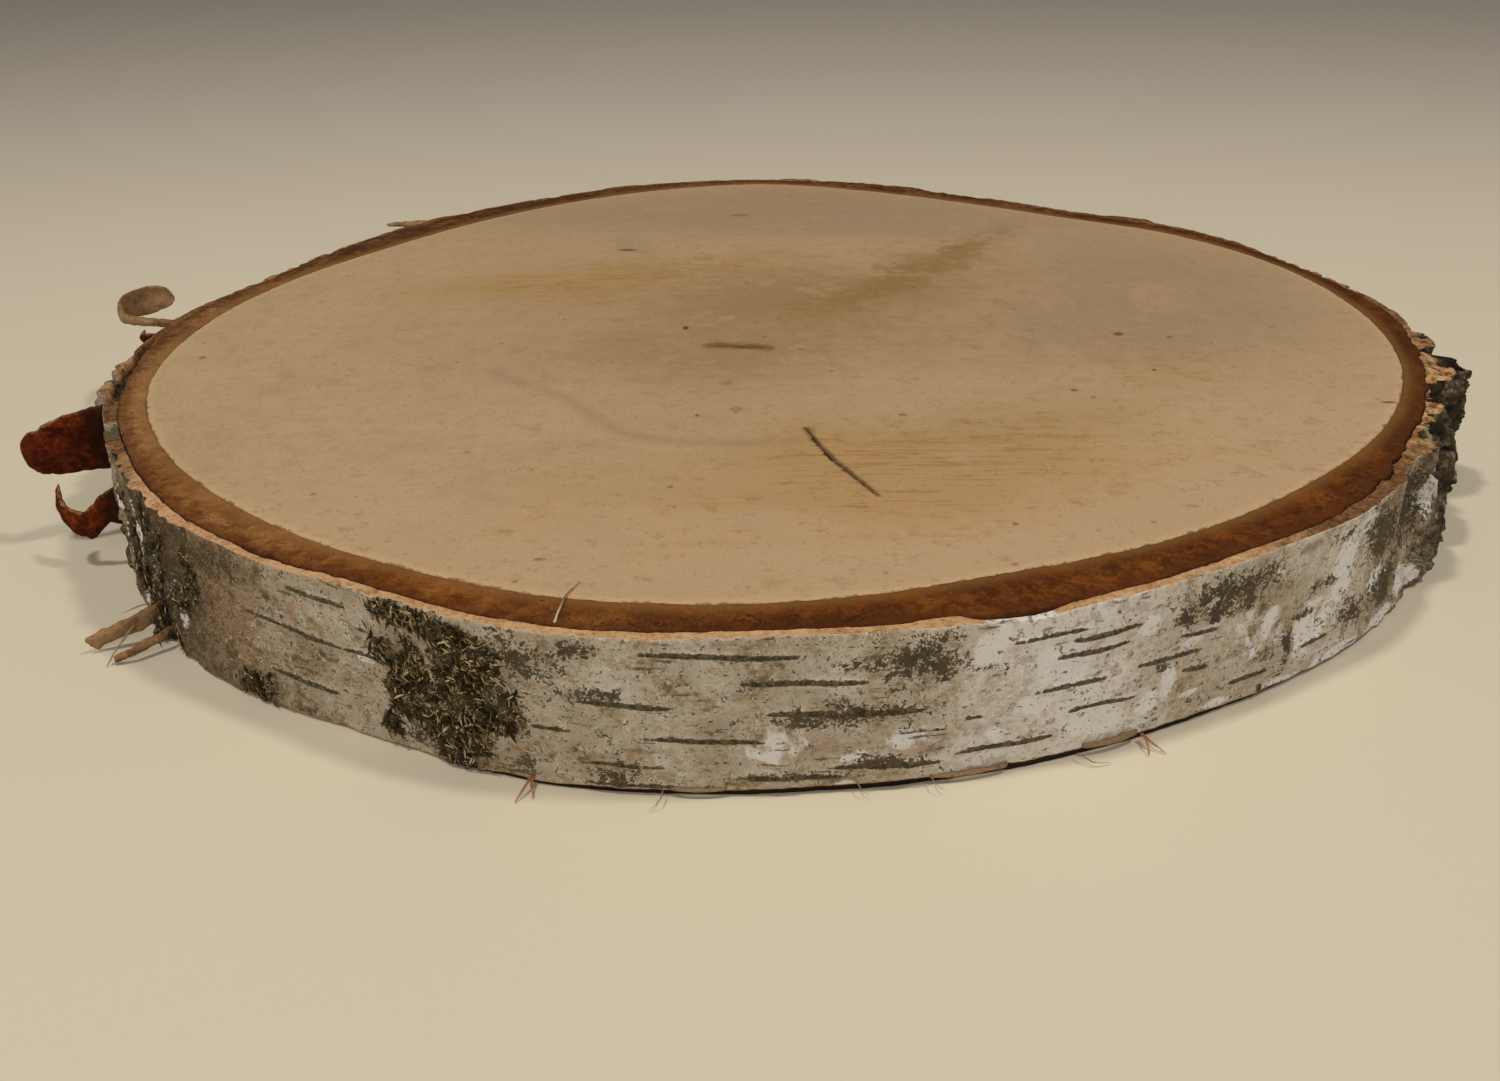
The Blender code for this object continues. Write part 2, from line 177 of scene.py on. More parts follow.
def turn(angle, middle):
    return np.mod(angle - middle + 180, 360) - 180


def step(value, low, high):
    share = np.clip((value - low) / (high - low), 0, 1)
    return share * share * (3 - 2 * share)


def corner(i, j, k, seed):
    """A repeatable value from 0 to 1 for each whole-number place."""
    mixed = (i * 73856093) ^ (j * 19349663) ^ (k * 83492791) ^ (seed * 668265263)
    mixed = mixed & 0xFFFFFFFF
    mixed = ((mixed ^ (mixed >> 15)) * 2246822519) & 0xFFFFFFFF
    mixed = ((mixed ^ (mixed >> 13)) * 3266489917) & 0xFFFFFFFF
    return (mixed ^ (mixed >> 16)) / 4294967296.0


def waves(points, seed):
    """Smooth noise from -1 to 1."""
    cell = np.floor(points).astype(np.int64)
    part = points - cell
    part = part * part * (3 - 2 * part)
    total = 0.0
    for dx in (0, 1):
        for dy in (0, 1):
            for dz in (0, 1):
                share = np.ones(points.shape[:-1])
                for axis, side in enumerate((dx, dy, dz)):
                    share = share * (part[..., axis] if side else 1 - part[..., axis])
                total = total + share * corner(cell[..., 0] + dx, cell[..., 1] + dy, cell[..., 2] + dz, seed)
    return 2 * total - 1


TILT = np.array(Matrix.Rotation(0.9, 3, Vector((0.4, 0.7, 0.6))))


def cloud(points, size, seed, octaves=4, gain=0.5, stretch=(1, 1, 1)):
    """Layered noise from about -1 to 1, whose widest swells are size across."""
    place = points * np.array(stretch) / size
    total, strength, whole = 0.0, 1.0, 0.0
    for octave in range(octaves):
        total = total + strength * waves(place, seed + octave)
        whole += strength
        strength *= gain
        place = place @ TILT * 2.03 + 17.1
    return total / whole * 1.5


def plates(points, seed):
    """How far each point is from the border of its cracked plate, in cells, and a value for the plate."""
    cell = np.floor(points).astype(np.int64)
    nearest = np.full(points.shape[:-1], 9.0)
    second = nearest.copy()
    value = np.zeros(points.shape[:-1])
    for dx in (-1, 0, 1):
        for dy in (-1, 0, 1):
            for dz in (-1, 0, 1):
                i, j, k = cell[..., 0] + dx, cell[..., 1] + dy, cell[..., 2] + dz
                away = (
                    (points[..., 0] - i - corner(i, j, k, seed)) ** 2
                    + (points[..., 1] - j - corner(i, j, k, seed + 1)) ** 2
                    + (points[..., 2] - k - corner(i, j, k, seed + 2)) ** 2
                ) ** 0.5
                closer = away < nearest
                second = np.where(closer, nearest, np.minimum(second, away))
                value = np.where(closer, corner(i, j, k, seed + 3), value)
                nearest = np.minimum(nearest, away)
    return second - nearest, value


def at(angle, radius, z):
    turned = np.radians(angle)
    return np.stack([radius * np.cos(turned), radius * np.sin(turned), z + 0 * turned * radius], -1)


def rim(angle):
    return around(RIM, angle)


def paper_inside(angle):
    torn = zone(angle, JAGGED) * (cloud(at(angle, rim(angle), 0 * angle), 5.0, 241, 4, gain=0.6) - 0.5)
    return rim(angle) - around(PAPER, angle) + 0.9 * torn - zone(angle, FLAPS)


def wood_edge(angle):
    return around(WOOD, angle)


def zone(angle, zones):
    total = np.zeros(np.shape(angle))
    for middle, half, strength in zones:
        total = np.maximum(total, strength * np.exp(-((turn(angle, middle) / half) ** 4)))
    return total


def lumps(angle, z):
    tallest = np.zeros(np.shape(angle))
    for middle, half_width, mid_height, half_height, proud in LUMPS:
        across = turn(angle, middle) / half_width
        up = (z - mid_height) / half_height
        tallest = np.maximum(tallest, proud * np.exp(-(across**4) - up**4))
    return tallest


def patches(angle, z, spots):
    """The strongest patch at each point: strength at its middle, 0 at its border, and below 0 outside."""
    found = np.full(np.shape(angle), -1.0)
    for middle, height, wide, tall, strength in spots:
        away = np.hypot(turn(angle, middle) / wide, (z - height) / tall)
        found = np.maximum(found, np.where(away < 1, strength * (1 - away), 1 - away))
    return found


def lenticels(angle, z, marks):
    """Signed distance in millimetres inside the nearest lenticel, negative outside."""
    found = np.full(np.shape(angle), -2.0)
    for first, last, low, high, half in marks:
        share = turn(angle, first) / (last - first)
        inside = np.clip(share, 0, 1)
        middle = low + (high - low) * inside
        tall = half * LENTICEL_GROWTH * (1 - (2 * inside - 1) ** 4) ** 0.5
        level = tall - np.abs(z - middle)
        beyond = np.abs(share - inside) * (last - first) * MM_PER_DEGREE
        found = np.maximum(found, np.where(beyond > 0, -np.hypot(beyond, np.maximum(-level, 0)), level))
    return found


def build(name, points, faces, paint, values):
    """A smooth piece, from points in millimetres, with its faces turned outwards and its named values."""
    points = np.asarray(points, float).reshape(-1, 3)
    volume = 0.0
    for face in (np.array([f for f in faces if len(f) == sides]) for sides in (3, 4)):
        for k in range(1, face.shape[1] - 1) if len(face) else ():
            one, two, three = (points[face[:, n]] for n in (0, k, k + 1))
            volume += np.einsum("ij,ij->i", one, np.cross(two, three)).sum()
    if volume < 0:
        faces = [face[::-1] for face in faces]
    made = plain_object(name, points, faces)
    made.data.materials.append(paint)
    made.data.shade_smooth()
    give(made.data, values)
    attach(made, "root")
    return made


def plain_object(name, points, faces):
    mesh = bpy.data.meshes.new(name)
    mesh.from_pydata((np.asarray(points) * MM).tolist(), [], [list(face) for face in faces])
    return link(name, mesh)


def link(name, data):
    made = bpy.data.objects.new(name, data)
    bpy.context.scene.collection.objects.link(made)
    return made


def turn_outwards(mesh):
    shape = bmesh.new()
    shape.from_mesh(mesh)
    bmesh.ops.recalc_face_normals(shape, faces=shape.faces)
    shape.to_mesh(mesh)
    shape.free()


def give(mesh, values):
    for key, field in values.items():
        layer = mesh.attributes.get(key) or mesh.attributes.new(key, "FLOAT", "POINT")
        layer.data.foreach_set("value", np.asarray(field, np.float32).ravel())


def quads(rows, columns, loop_rows, loop_columns):
    index = np.arange(rows * columns).reshape(rows, columns)
    if loop_rows:
        index = np.vstack([index, index[:1]])
    if loop_columns:
        index = np.hstack([index, index[:, :1]])
    corners = (index[:-1, :-1], index[:-1, 1:], index[1:, 1:], index[1:, :-1])
    return np.stack(corners, -1).reshape(-1, 4).tolist()


class Paint:
    """A material being made, with short calls for the nodes that it uses. Sizes are in millimetres.

    A term of a sum is a number, a socket or an attribute's name, or a tuple of one of these and its factor.
    A third number in the tuple is taken off before multiplying. Where it isn't said, it is 0 for an attribute
    and 0.5, the middle of a noise, for a socket.
    """

    def __init__(self, name):
        self.material = bpy.data.materials.new(name)
        self.material.use_nodes = True
        self.tree = self.material.node_tree
        self.shader = self.tree.nodes["Principled BSDF"]
        self.place = self.tree.nodes.new("ShaderNodeTexCoord").outputs["Object"]
        self.colour = None

    def put(self, socket, value):
        if isinstance(value, bpy.types.NodeSocket):
            self.tree.links.new(value, socket)
        elif socket.type == "RGBA" and len(value) == 3:
            socket.default_value = (*value, 1)
        else:
            socket.default_value = value

    def node(self, kind, inputs, **settings):
        made = self.tree.nodes.new(kind)
        for key, value in settings.items():
            setattr(made, key, value)
        for key, value in inputs.items():
            self.put(made.inputs[key], value)
        return made

    def coordinates(self, size, stretch=(1, 1, 1), turned=0.0):
        scale = [1000 / size * share for share in stretch]
        inputs = {"Vector": self.place, "Rotation": (0, 0, turned), "Scale": (1, 1, 1)}
        turning = self.node("ShaderNodeMapping", inputs)
        return self.node("ShaderNodeMapping", {"Vector": turning.outputs[0], "Scale": scale}).outputs[0]

    def noise(self, size, detail=3.0, rough=0.55, stretch=(1, 1, 1), turned=0.0, distort=0.0):
        """Noise from 0 to 1, spread about 0.5."""
        inputs = {"Vector": self.coordinates(size, stretch, turned), "Scale": 1.0, "Detail": detail}
        inputs.update({"Roughness": rough, "Distortion": distort})
        return self.node("ShaderNodeTexNoise", inputs).outputs[0]

    def cells(self, size):
        inputs = {"Vector": self.coordinates(size), "Scale": 1.0}
        return self.node("ShaderNodeTexVoronoi", inputs, feature="F1").outputs["Distance"]

    def value(self, name):
        return self.node("ShaderNodeAttribute", {}, attribute_name=name).outputs["Fac"]

    def math(self, kind, one, two=0.0):
        return self.node("ShaderNodeMath", {0: one, 1: two}, operation=kind).outputs[0]

    def read(self, value):
        return self.value(value) if isinstance(value, str) else value

    def sum(self, *terms):
        total = None
        for term in terms:
            if isinstance(term, tuple):
                usual = 0.0 if isinstance(term[0], str) else 0.5
                one, times, middle = (*term, usual)[:3]
                inputs = {0: self.read(one), 1: times, 2: -middle * times}
                term = self.node("ShaderNodeMath", inputs, operation="MULTIPLY_ADD").outputs[0]
            term = self.read(term)
            total = term if total is None else self.math("ADD", total, term)
        return total

    def rise(self, low, high, *terms, most=1.0):
        """From 0 where the terms' sum is low to most where it is high."""
        inputs = {"Value": self.sum(*terms), "From Min": low, "From Max": high, "To Min": 0.0, "To Max": most}
        return self.node("ShaderNodeMapRange", inputs, interpolation_type="SMOOTHSTEP").outputs[0]

    def mix(self, share, one, two, blend="MIX"):
        inputs = {0: share, 6: one, 7: two}
        return self.node("ShaderNodeMix", inputs, data_type="RGBA", blend_type=blend).outputs[2]

    def coat(self, colour, low, high, *terms, most=1.0, blend="MIX"):
        """Lay a colour over what is there, where the terms' sum rises from low to high."""
        self.lay(colour, self.rise(low, high, *terms, most=most), blend)

    def lay(self, colour, share, blend="MIX"):
        self.colour = self.mix(share, self.colour, colour, blend)

    def ramp(self, value, *stops):
        made = self.node("ShaderNodeValToRGB", {"Fac": value})
        ramp = made.color_ramp
        while len(ramp.elements) < len(stops):
            ramp.elements.new(1.0)
        for element, (place, colour) in zip(ramp.elements, stops):
            element.position = place
            element.color = (*colour, 1)
        return made.outputs[0]

    def spot(self, x, y, radius, stretch):
        """1 at the middle of a small round or stretched spot on the sawn face, falling to 0 at its radius."""
        away = self.vector("SUBTRACT", self.place, (x * MM, y * MM, THICK * MM)).outputs[0]
        scaled = self.vector("MULTIPLY", away, (1 / stretch, 1, 1)).outputs[0]
        return self.sum(1.0, (self.vector("LENGTH", scaled).outputs["Value"], -1 / (radius * MM), 0))

    def vector(self, kind, *values):
        return self.node("ShaderNodeVectorMath", dict(enumerate(values)), operation=kind)

    def finish(self, roughness, bumps, specular):
        """Bumps are (height value, depth in millimetres), joined one on another."""
        normal = None
        for height, depth in bumps:
            inputs = {"Height": height, "Distance": depth * MM, "Strength": 1.0}
            if normal:
                inputs["Normal"] = normal
            normal = self.node("ShaderNodeBump", inputs).outputs["Normal"]
        self.put(self.shader.inputs["Base Color"], self.colour)
        self.put(self.shader.inputs["Roughness"], roughness)
        self.put(self.shader.inputs["Normal"], normal)
        self.put(self.shader.inputs["Specular IOR Level"], specular)
        return self.material


# The papery outer bark

# Where the bark's foot is lifted off the table: middle, half-width, strength, as in all zones here
BARK_LIFTED = ((281.5, 30.0, 1.0),)
# Where the sawn edge of the paper is peach-coloured, and where a groove, painted dark as shade, parts it from
# the inner bark
PEACH = ((259.0, 49.0, 1.0),)
GROOVE = ((191.5, 7.0, 1.0),)
# Where the wall is a dark crust
CRUSTED = (
    (342, 16, 1), (12, 8, 0.5), (80, 9, 0.5), (158, 10, 0.5), (192, 8, 0.9),
)
# Where the bark is furrowed upright
RIDGED = (
    (216, 8.6, 1), (327, 9, 0.5), (247, 5.5, 0.3), (20, 9, 0.5), (170, 9, 0.6),
)
LENTICEL_GROWTH = 1.3


def bark_angles():
    """Close columns on the front and both ends, wider ones on the back."""
    return np.concatenate([np.arange(186, 372, 0.25), np.arange(372, 546, 0.5)])


def random_marks():
    """Lenticels and patches for the back, which the photograph doesn't show."""
    draw = np.random.default_rng(11)
    marks = []
    for _ in range(95):
        first = draw.uniform(9, 206)
        z = draw.uniform(2, 28)
        last = first + draw.uniform(1.2, 5.6)
        marks.append((first, last, z, z + draw.uniform(-0.6, 0.6), draw.uniform(0.24, 0.46)))

    def scatter(count, *ranges):
        return [tuple(draw.uniform(low, high) for low, high in ranges) for _ in range(count)]

    dark = scatter(42, (8, 210), (0, 30), (0.8, 4.2), (1.0, 5.5), (0.4, 1.0))
    white = scatter(20, (10, 205), (2, 28), (0.8, 3.0), (1.0, 6.0), (0.1, 0.6))
    warm = scatter(12, (10, 205), (2, 28), (0.8, 4.0), (1.0, 6.0), (0.3, 0.7))
    return marks, dark, white, warm


def bark_fields(angle, z, place):
    """What the bark shows at each point, by name."""
    marks, dark, white, warm = random_marks()
    swirl = cloud(place, 7.0, 21, 4)
    fine = cloud(place, 2.2, 31, 3)
    bent_angle = angle + 0.35 * cloud(place, 5.0, 41, 3)
    bent_z = z + 0.5 * cloud(place, 6.0, 51, 3)
    tone = np.interp(np.mod(angle, 360), *zip(*TONES, (360, TONES[0][1])))
    return {
        "lent": lenticels(bent_angle, z + 0.25 * cloud(place, 8.0, 61, 2), LENTICELS + tuple(marks)),
        "moss": patches(bent_angle, bent_z, MOSS) + 0.30 * swirl + 0.22 * fine,
        "dark": 0.8 * patches(bent_angle, bent_z, LICHEN + tuple(dark)) + 0.30 * swirl + 0.24 * fine,
        "white": patches(bent_angle, bent_z, WHITE + tuple(white)) + 0.25 * swirl + 0.12 * fine,
        "warm": patches(bent_angle, bent_z, WARM + tuple(warm)) + 0.15 * swirl + 0.2 * fine,
        "tone": tone + 0.10 * swirl + 0.06 * fine,
    }


def bark_surface(angle, z):
    """The radius of the bark's outside at each angle and height."""
    down = 1 - z / THICK
    smooth_radius = rim(angle) + around(FLARE, angle) * down * down
    place = at(angle, smooth_radius, z)
    corky = zone(angle, CORKY)
    bent = angle + corky * 1.3 * cloud(place, 6.0, 71, 4)
    bent_z = z + corky * 1.8 * cloud(place, 7.0, 75, 3)
    proud = lumps(bent, bent_z)
    radius = smooth_radius + proud
    border, height = plates(at(angle, radius, z * 0.7) / 8.5 + 0.55 * cloud(place, 5.0, 81, 4)[..., None], 5)
    cleft = 1 - step(border, 0.02, 0.20)
    rough = 1.2 * cloud(place, 4.6, 91, 5, gain=0.62)
    radius = radius + corky * (1.3 * (height - 0.9) - 2.4 * cleft + rough)
    hollow = (1 - step(proud, 0.4, 2.4)) * step(cloud(place, 4.0, 95, 3), -0.3, 0.4) * 0.7
    ridged = zone(angle, RIDGED)
    upright = cloud(place, 2.8, 101, 3, stretch=(1, 1, 0.15))
    radius = radius + ridged * (1.5 * upright + 0.4 * cloud(place, 1.4, 105, 2))
    furrow = ridged * step(-upright, 0.0, 0.5)
    # How dark the clefts, hollows and upright furrows are painted: partly their own dark, partly painted
    # shade in the recesses
    deep = corky * np.maximum(cleft, hollow) * (0.4 + 0.6 * zone(angle, CRUSTED))
    deep = np.maximum(deep, 0.85 * furrow)
    return radius, place, corky, deep


WALL_ROWS = 64
FACE_ROWS = 15


def bark_brims(angles):
    """The heights of the bark's sawn edge and of its foot, which is lifted off the table in front."""
    flat = at(angles, rim(angles), 0 * angles)
    chips = np.max([d * np.exp(-((turn(angles, m) / w) ** 4)) for m, w, d in EDGE_CHIPS], 0)
    top = THICK - chips - 0.10 - 0.16 * np.abs(cloud(flat, 3.0, 111, 4))
    top = top - 0.5 * step(cloud(flat, 9.0, 115, 3), 0.55, 0.9)
    foot = 0.35 + 0.95 * zone(angles, BARK_LIFTED) + 0.22 * cloud(flat, 2.4, 121, 4)
    return top, np.maximum(foot, 0.05)


def bark_relief(angle, radius, place, fields):
    """The wall's radius with its lenticels, moss, crusts and the step where a sheet has peeled off."""
    moss = step(fields["moss"], 0.05, 0.35)
    radius = radius + 0.30 * step(fields["lent"], -0.35, 0.3)
    radius = radius + moss * (0.5 + 0.9 * cloud(place, 2.4, 131, 3) + 0.35 * cloud(place, 1.1, 135, 2))
    crusty = step(fields["dark"], 0.05, 0.4)
    radius = radius + crusty * (0.16 + 0.45 * cloud(place, 2.2, 137, 3))
    radius = radius + 0.28 * cloud(place, 8.0, 141, 4) + 0.06 * cloud(place, 1.3, 145, 2)
    peeled = step(angle, 279.8, 280.1) * (1 - step(angle, 283.3, 283.7) * 0.55) * (1 - step(angle, 292, 297))
    return radius - 0.32 * peeled


def bark_face(angles, inner, outer, top, corky):
    """The points of the sawn edge from outside to inside, and how deep in a cleft or a groove each one is."""
    inward = np.linspace(0, 1, FACE_ROWS)[:, None]
    start = outer - np.minimum(0.2, (outer - inner) * 0.1)
    radius = start + (inner - start) * inward
    angle = np.broadcast_to(angles, radius.shape)
    place = at(angle, radius, top + 0 * radius)
    bent = angle + 0.8 * cloud(place, 4.0, 149, 4)
    split = np.max([np.exp(-((turn(bent, middle) / half) ** 4)) for middle, half in CLEFTS], 0)
    split = split * step(radius - inner, 0.2, 1.6)
    crust = 0.42 * np.maximum(outer - rim(angles), 0) * (1 + 0.6 * cloud(place, 4.0, 147, 3))
    band = step(crust - (outer - radius), -0.5, 0.5) * step(crust, 0.8, 1.6)
    cleft = np.maximum(split, 0.9 * band) * step(corky, 0.1, 0.4)
    groove = zone(angle, GROOVE) * step(inward + 0.12 * cloud(place, 3.0, 153, 3), 0.34, 0.52)
    height = 0.12 * cloud(place, 1.6, 151, 3) - 3.2 * groove * (1 - 0.5 * step(inward, 0.9, 1.0))
    height = height + corky * (0.8 * cloud(place, 2.6, 155, 4) - 3.0 * split - 1.0 * band - 0.4)
    place[..., 2] += np.minimum(height, 0.12)
    return place, np.maximum(cleft, groove)


def make_bark(paint):
    angles = bark_angles()
    top, foot = bark_brims(angles)
    share = np.linspace(0, 1, WALL_ROWS)[:, None]
    z = foot + (top - 0.2 - foot) * share
    angle = np.broadcast_to(angles, z.shape)
    radius, place, corky, deep = bark_surface(angle, z)
    fields = bark_fields(angle, z, place)
    radius = bark_relief(angle, radius, place, fields)
    sawn = np.zeros(z.shape)
    sawn[0] = 0.95
    rows = [at(angle, radius, z)]
    values = {key: [field] for key, field in fields.items()}
    values.update({"cork": [corky], "deep": [np.clip(deep, 0, 1)]})
    values.update({"cut": [sawn], "under": [np.zeros(z.shape)]})

    def extend(part, sawn, under, deep=0.0):
        """Go on with the rows of a part, which take what the wall's top row shows."""
        rows.append(part)
        for key in (*fields, "cork"):
            values[key].append(np.repeat(values[key][0][-1:], len(part), 0))
        for key, value in (("deep", deep), ("cut", sawn), ("under", under)):
            values[key].append(np.broadcast_to(value, part.shape[:2]))

    inner = paper_inside(angles) + 0.12
    face, cleft = bark_face(angles, inner, radius[-1], top, corky[-1])
    extend(face, 1 - zone(angles, BARE), 0.0, cleft)
    # Rows for the paper's inner wall and its sole, painted near-black as the shade in the gap under the
    # lifted foot
    wall_z = top + (foot + 0.1 - top) * np.linspace(0.3, 1, 3)[:, None]
    extend(at(np.broadcast_to(angles, wall_z.shape), inner + 0 * wall_z, wall_z), 0.0, 1.0)
    outward = np.array([0.3, 0.6, 0.80, 0.86])[:, None]
    sole = inner + (radius[0] - inner) * outward
    recess = 0.03 + 0.06 * np.abs(cloud(at(angles, rim(angles), 0 * angles), 1.5, 161, 2))
    sole_z = recess + (foot - 0.05 - recess) * (outward > 0.83)
    extend(at(np.broadcast_to(angles, sole.shape), sole, np.maximum(sole_z, 0.02)), 0.0, 1.0)
    points = np.concatenate(rows)
    values = {key: np.concatenate(parts) for key, parts in values.items()}
    values["peach"] = np.broadcast_to(zone(angles, PEACH) + 0.35 * zone(angles, GROOVE), points.shape[:2])
    values["crust"] = np.broadcast_to(zone(angles, CRUSTED), points.shape[:2])
    made = build("papery_bark", points, quads(*points.shape[:2], True, True), paint, values)
    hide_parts("outer_bark")


def bark_paint():
    p = Paint("papery_bark")
    broad = p.noise(16, 4, 0.6)
    mottle = p.noise(4.6, 6, 0.68, stretch=(1, 1, 0.9), distort=0.6)
    patchy = p.noise(1.9, 5, 0.7, distort=0.4)
    grain = p.noise(0.8, 4, 0.7)
    speck = p.noise(0.38, 2, 0.6)
    upright = p.noise(0.9, 3, 0.6, stretch=(1, 1, 0.2))
    level = p.noise(1.7, 4, 0.65, stretch=(0.2, 0.2, 1.5))
    dash = p.noise(2.4, 2, 0.5, stretch=(0.3, 0.3, 2.6))
    near_dark = p.rise(-0.25, 0.55, "dark")
    p.colour = p.ramp(
        p.sum("tone", (broad, 0.6), (mottle, 1.35), (patchy, 0.9), (level, 0.5), (grain, 0.5)),
        (0.0, (0.080, 0.050, 0.020)), (0.25, (0.225, 0.158, 0.088)), (0.48, (0.48, 0.395, 0.284)),
        (0.68, (0.67, 0.605, 0.510)), (0.9, (0.83, 0.805, 0.775)),
    )
    # Warm stains, dull blotches, chalky white, and light and dark flakes
    p.coat((0.36, 0.205, 0.115), 0.08, 0.5, "warm", (mottle, 1.1), (patchy, 0.7), most=0.6)
    blotch = (mottle, (patchy, 0.7), (level, 0.5), (grain, 0.3))
    p.coat((0.52, 0.46, 0.37), 0.52, 0.60, *blotch, most=0.62, blend="MULTIPLY")
    p.coat((0.86, 0.85, 0.85), 0.02, 0.24, "white", (mottle, 1.1), (patchy, 0.5), most=0.92)
    p.coat((0.83, 0.80, 0.74), 0.575, 0.62, patchy, (grain, 0.6), (mottle, -0.4), most=0.5)
    chipped = (patchy, (grain, 0.8), (level, 0.8), (near_dark, 0.20, 0))
    p.coat((0.235, 0.190, 0.125), 0.66, 0.70, *chipped, most=0.7)
    # Dark lichen, black specks and dashes, and the lenticels
    lichen = p.rise(0.45, 0.60, grain, (speck, 0.4), (patchy, 1.9), (mottle, -0.9))
    lichen = p.mix(lichen, (0.040, 0.030, 0.014), (0.34, 0.29, 0.195))
    p.coat(lichen, 0.30, 0.44, ("dark", 0.8), (mottle, 1.5), (patchy, 1.6), (grain, 0.9), most=0.86)
    speckled = (grain, (speck, 0.7), (patchy, 0.7), (near_dark, 0.26, 0), ("tone", -0.12, 0.5))
    p.coat((0.070, 0.051, 0.024), 0.62, 0.69, *speckled, most=0.9)
    p.coat((0.10, 0.078, 0.038), 0.665, 0.71, dash, (grain, 0.3), (near_dark, 0.03, 0), most=0.8)
    lenticel = p.mix(p.rise(0.40, 0.66, grain), (0.030, 0.022, 0.009), (0.17, 0.132, 0.072))
    p.coat(lenticel, -0.08, 0.10, "lent", (upright, 0.9), (grain, 0.6), most=0.96)
    # Moss, with pale hairs between its dark leaves
    mossy = p.rise(0.10, 0.22, "moss", (mottle, 1.2), (patchy, 1.3), (grain, 1.2), most=0.97)
    strand = p.math("ABSOLUTE", p.sum(p.noise(3.4, 2, 0.6, distort=2.6), -0.5))
    hairy = p.rise(0.46, 0.58, patchy, (grain, 0.8), most=0.9)
    hair = p.math("MULTIPLY", p.rise(0.040, 0.012, strand), hairy)
    leaves = p.mix(p.rise(0.42, 0.64, grain), (0.018, 0.013, 0.004), (0.088, 0.066, 0.024))
    p.lay(p.mix(hair, leaves, (0.42, 0.34, 0.19)), mossy)
    # Corky blocks, with chalky patches, and dark clefts that are partly painted shade
    corky = p.ramp(
        p.sum(patchy, (mottle, 0.9), (upright, 0.5), (grain, 0.4), ("crust", -0.12)),
        (0.34, (0.018, 0.013, 0.005)), (0.46, (0.080, 0.062, 0.030)), (0.56, (0.22, 0.180, 0.110)),
        (0.66, (0.50, 0.45, 0.35)), (0.76, (0.66, 0.62, 0.54)),
    )
    p.coat(corky, 0.4, 0.8, "cork", (mottle, 0.8), most=0.8)
    chalky = p.sum("white", (mottle, 1.1), (patchy, 0.9), ("crust", -0.4))
    p.coat((0.76, 0.70, 0.64), 0.14, 0.30, p.math("MULTIPLY", chalky, p.value("cork")), most=0.9)
    # Near-black in clefts, hollows, furrows and the groove: partly the dark of the fissures themselves,
    # partly painted shade
    p.coat((0.014, 0.012, 0.006), 0.25, 0.7, "deep", (grain, 0.5), most=0.95)
    p.coat(sawn_bark(p, mottle, patchy, grain), 0.45, 0.75, "cut")
    # Painted shade: near-black on the paper's inner wall and sole, standing for the shadow in the gap under
    # its lifted foot
    p.coat((0.018, 0.009, 0.005), 0.3, 0.7, "under")
    bumps = ((mottle, 0.4), (patchy, 0.25), (level, 0.12), (upright, 0.08), (grain, 0.30), (speck, 0.07))
    return p.finish(p.sum(0.76, (grain, 0.2), (mossy, 0.1, 0)), bumps, 0.22)


def sawn_bark(p, mottle, patchy, grain):
    """The colour of the bark's sawn edge: peach in front, brown behind, and orange cork with dark clefts and
    crust, the near-black in the clefts and groove partly painted shade.
    """
    peach = p.ramp(
        p.sum(grain, (mottle, 0.8), (patchy, 0.5)), (0.2, (0.22, 0.095, 0.032)), (0.42, (0.48, 0.265, 0.118)),
        (0.6, (0.62, 0.385, 0.205)), (0.85, (0.71, 0.48, 0.29)),
    )
    brown = p.ramp(
        p.sum(grain, (mottle, 0.6)), (0.3, (0.050, 0.018, 0.006)), (0.5, (0.165, 0.072, 0.024)),
        (0.75, (0.36, 0.19, 0.085)),
    )
    orange = p.ramp(
        p.sum(patchy, (mottle, 0.9), (grain, 0.4)), (0.30, (0.050, 0.022, 0.008)),
        (0.42, (0.25, 0.110, 0.036)), (0.50, (0.46, 0.245, 0.098)), (0.60, (0.60, 0.375, 0.195)),
        (0.75, (0.66, 0.45, 0.28)),
    )
    sawn = p.mix(p.rise(0.3, 0.7, "peach", (mottle, 0.5)), brown, peach)
    sawn = p.mix(p.value("cork"), sawn, orange)
    crust = p.mix(p.rise(0.44, 0.60, patchy, (grain, 0.5)), (0.014, 0.011, 0.005), (0.125, 0.088, 0.044))
    return p.mix(p.rise(0.35, 0.65, "deep", (grain, 0.5), (patchy, 0.6), most=0.96), sawn, crust)


# Moss

SPRIG_TRIES = 26000
MOST_SPRIGS = 3600
# All of the mossy stretch of the bark, and its thickest patch, from angle to angle
MOSS_ARCS = ((213, 254), (240, 253))


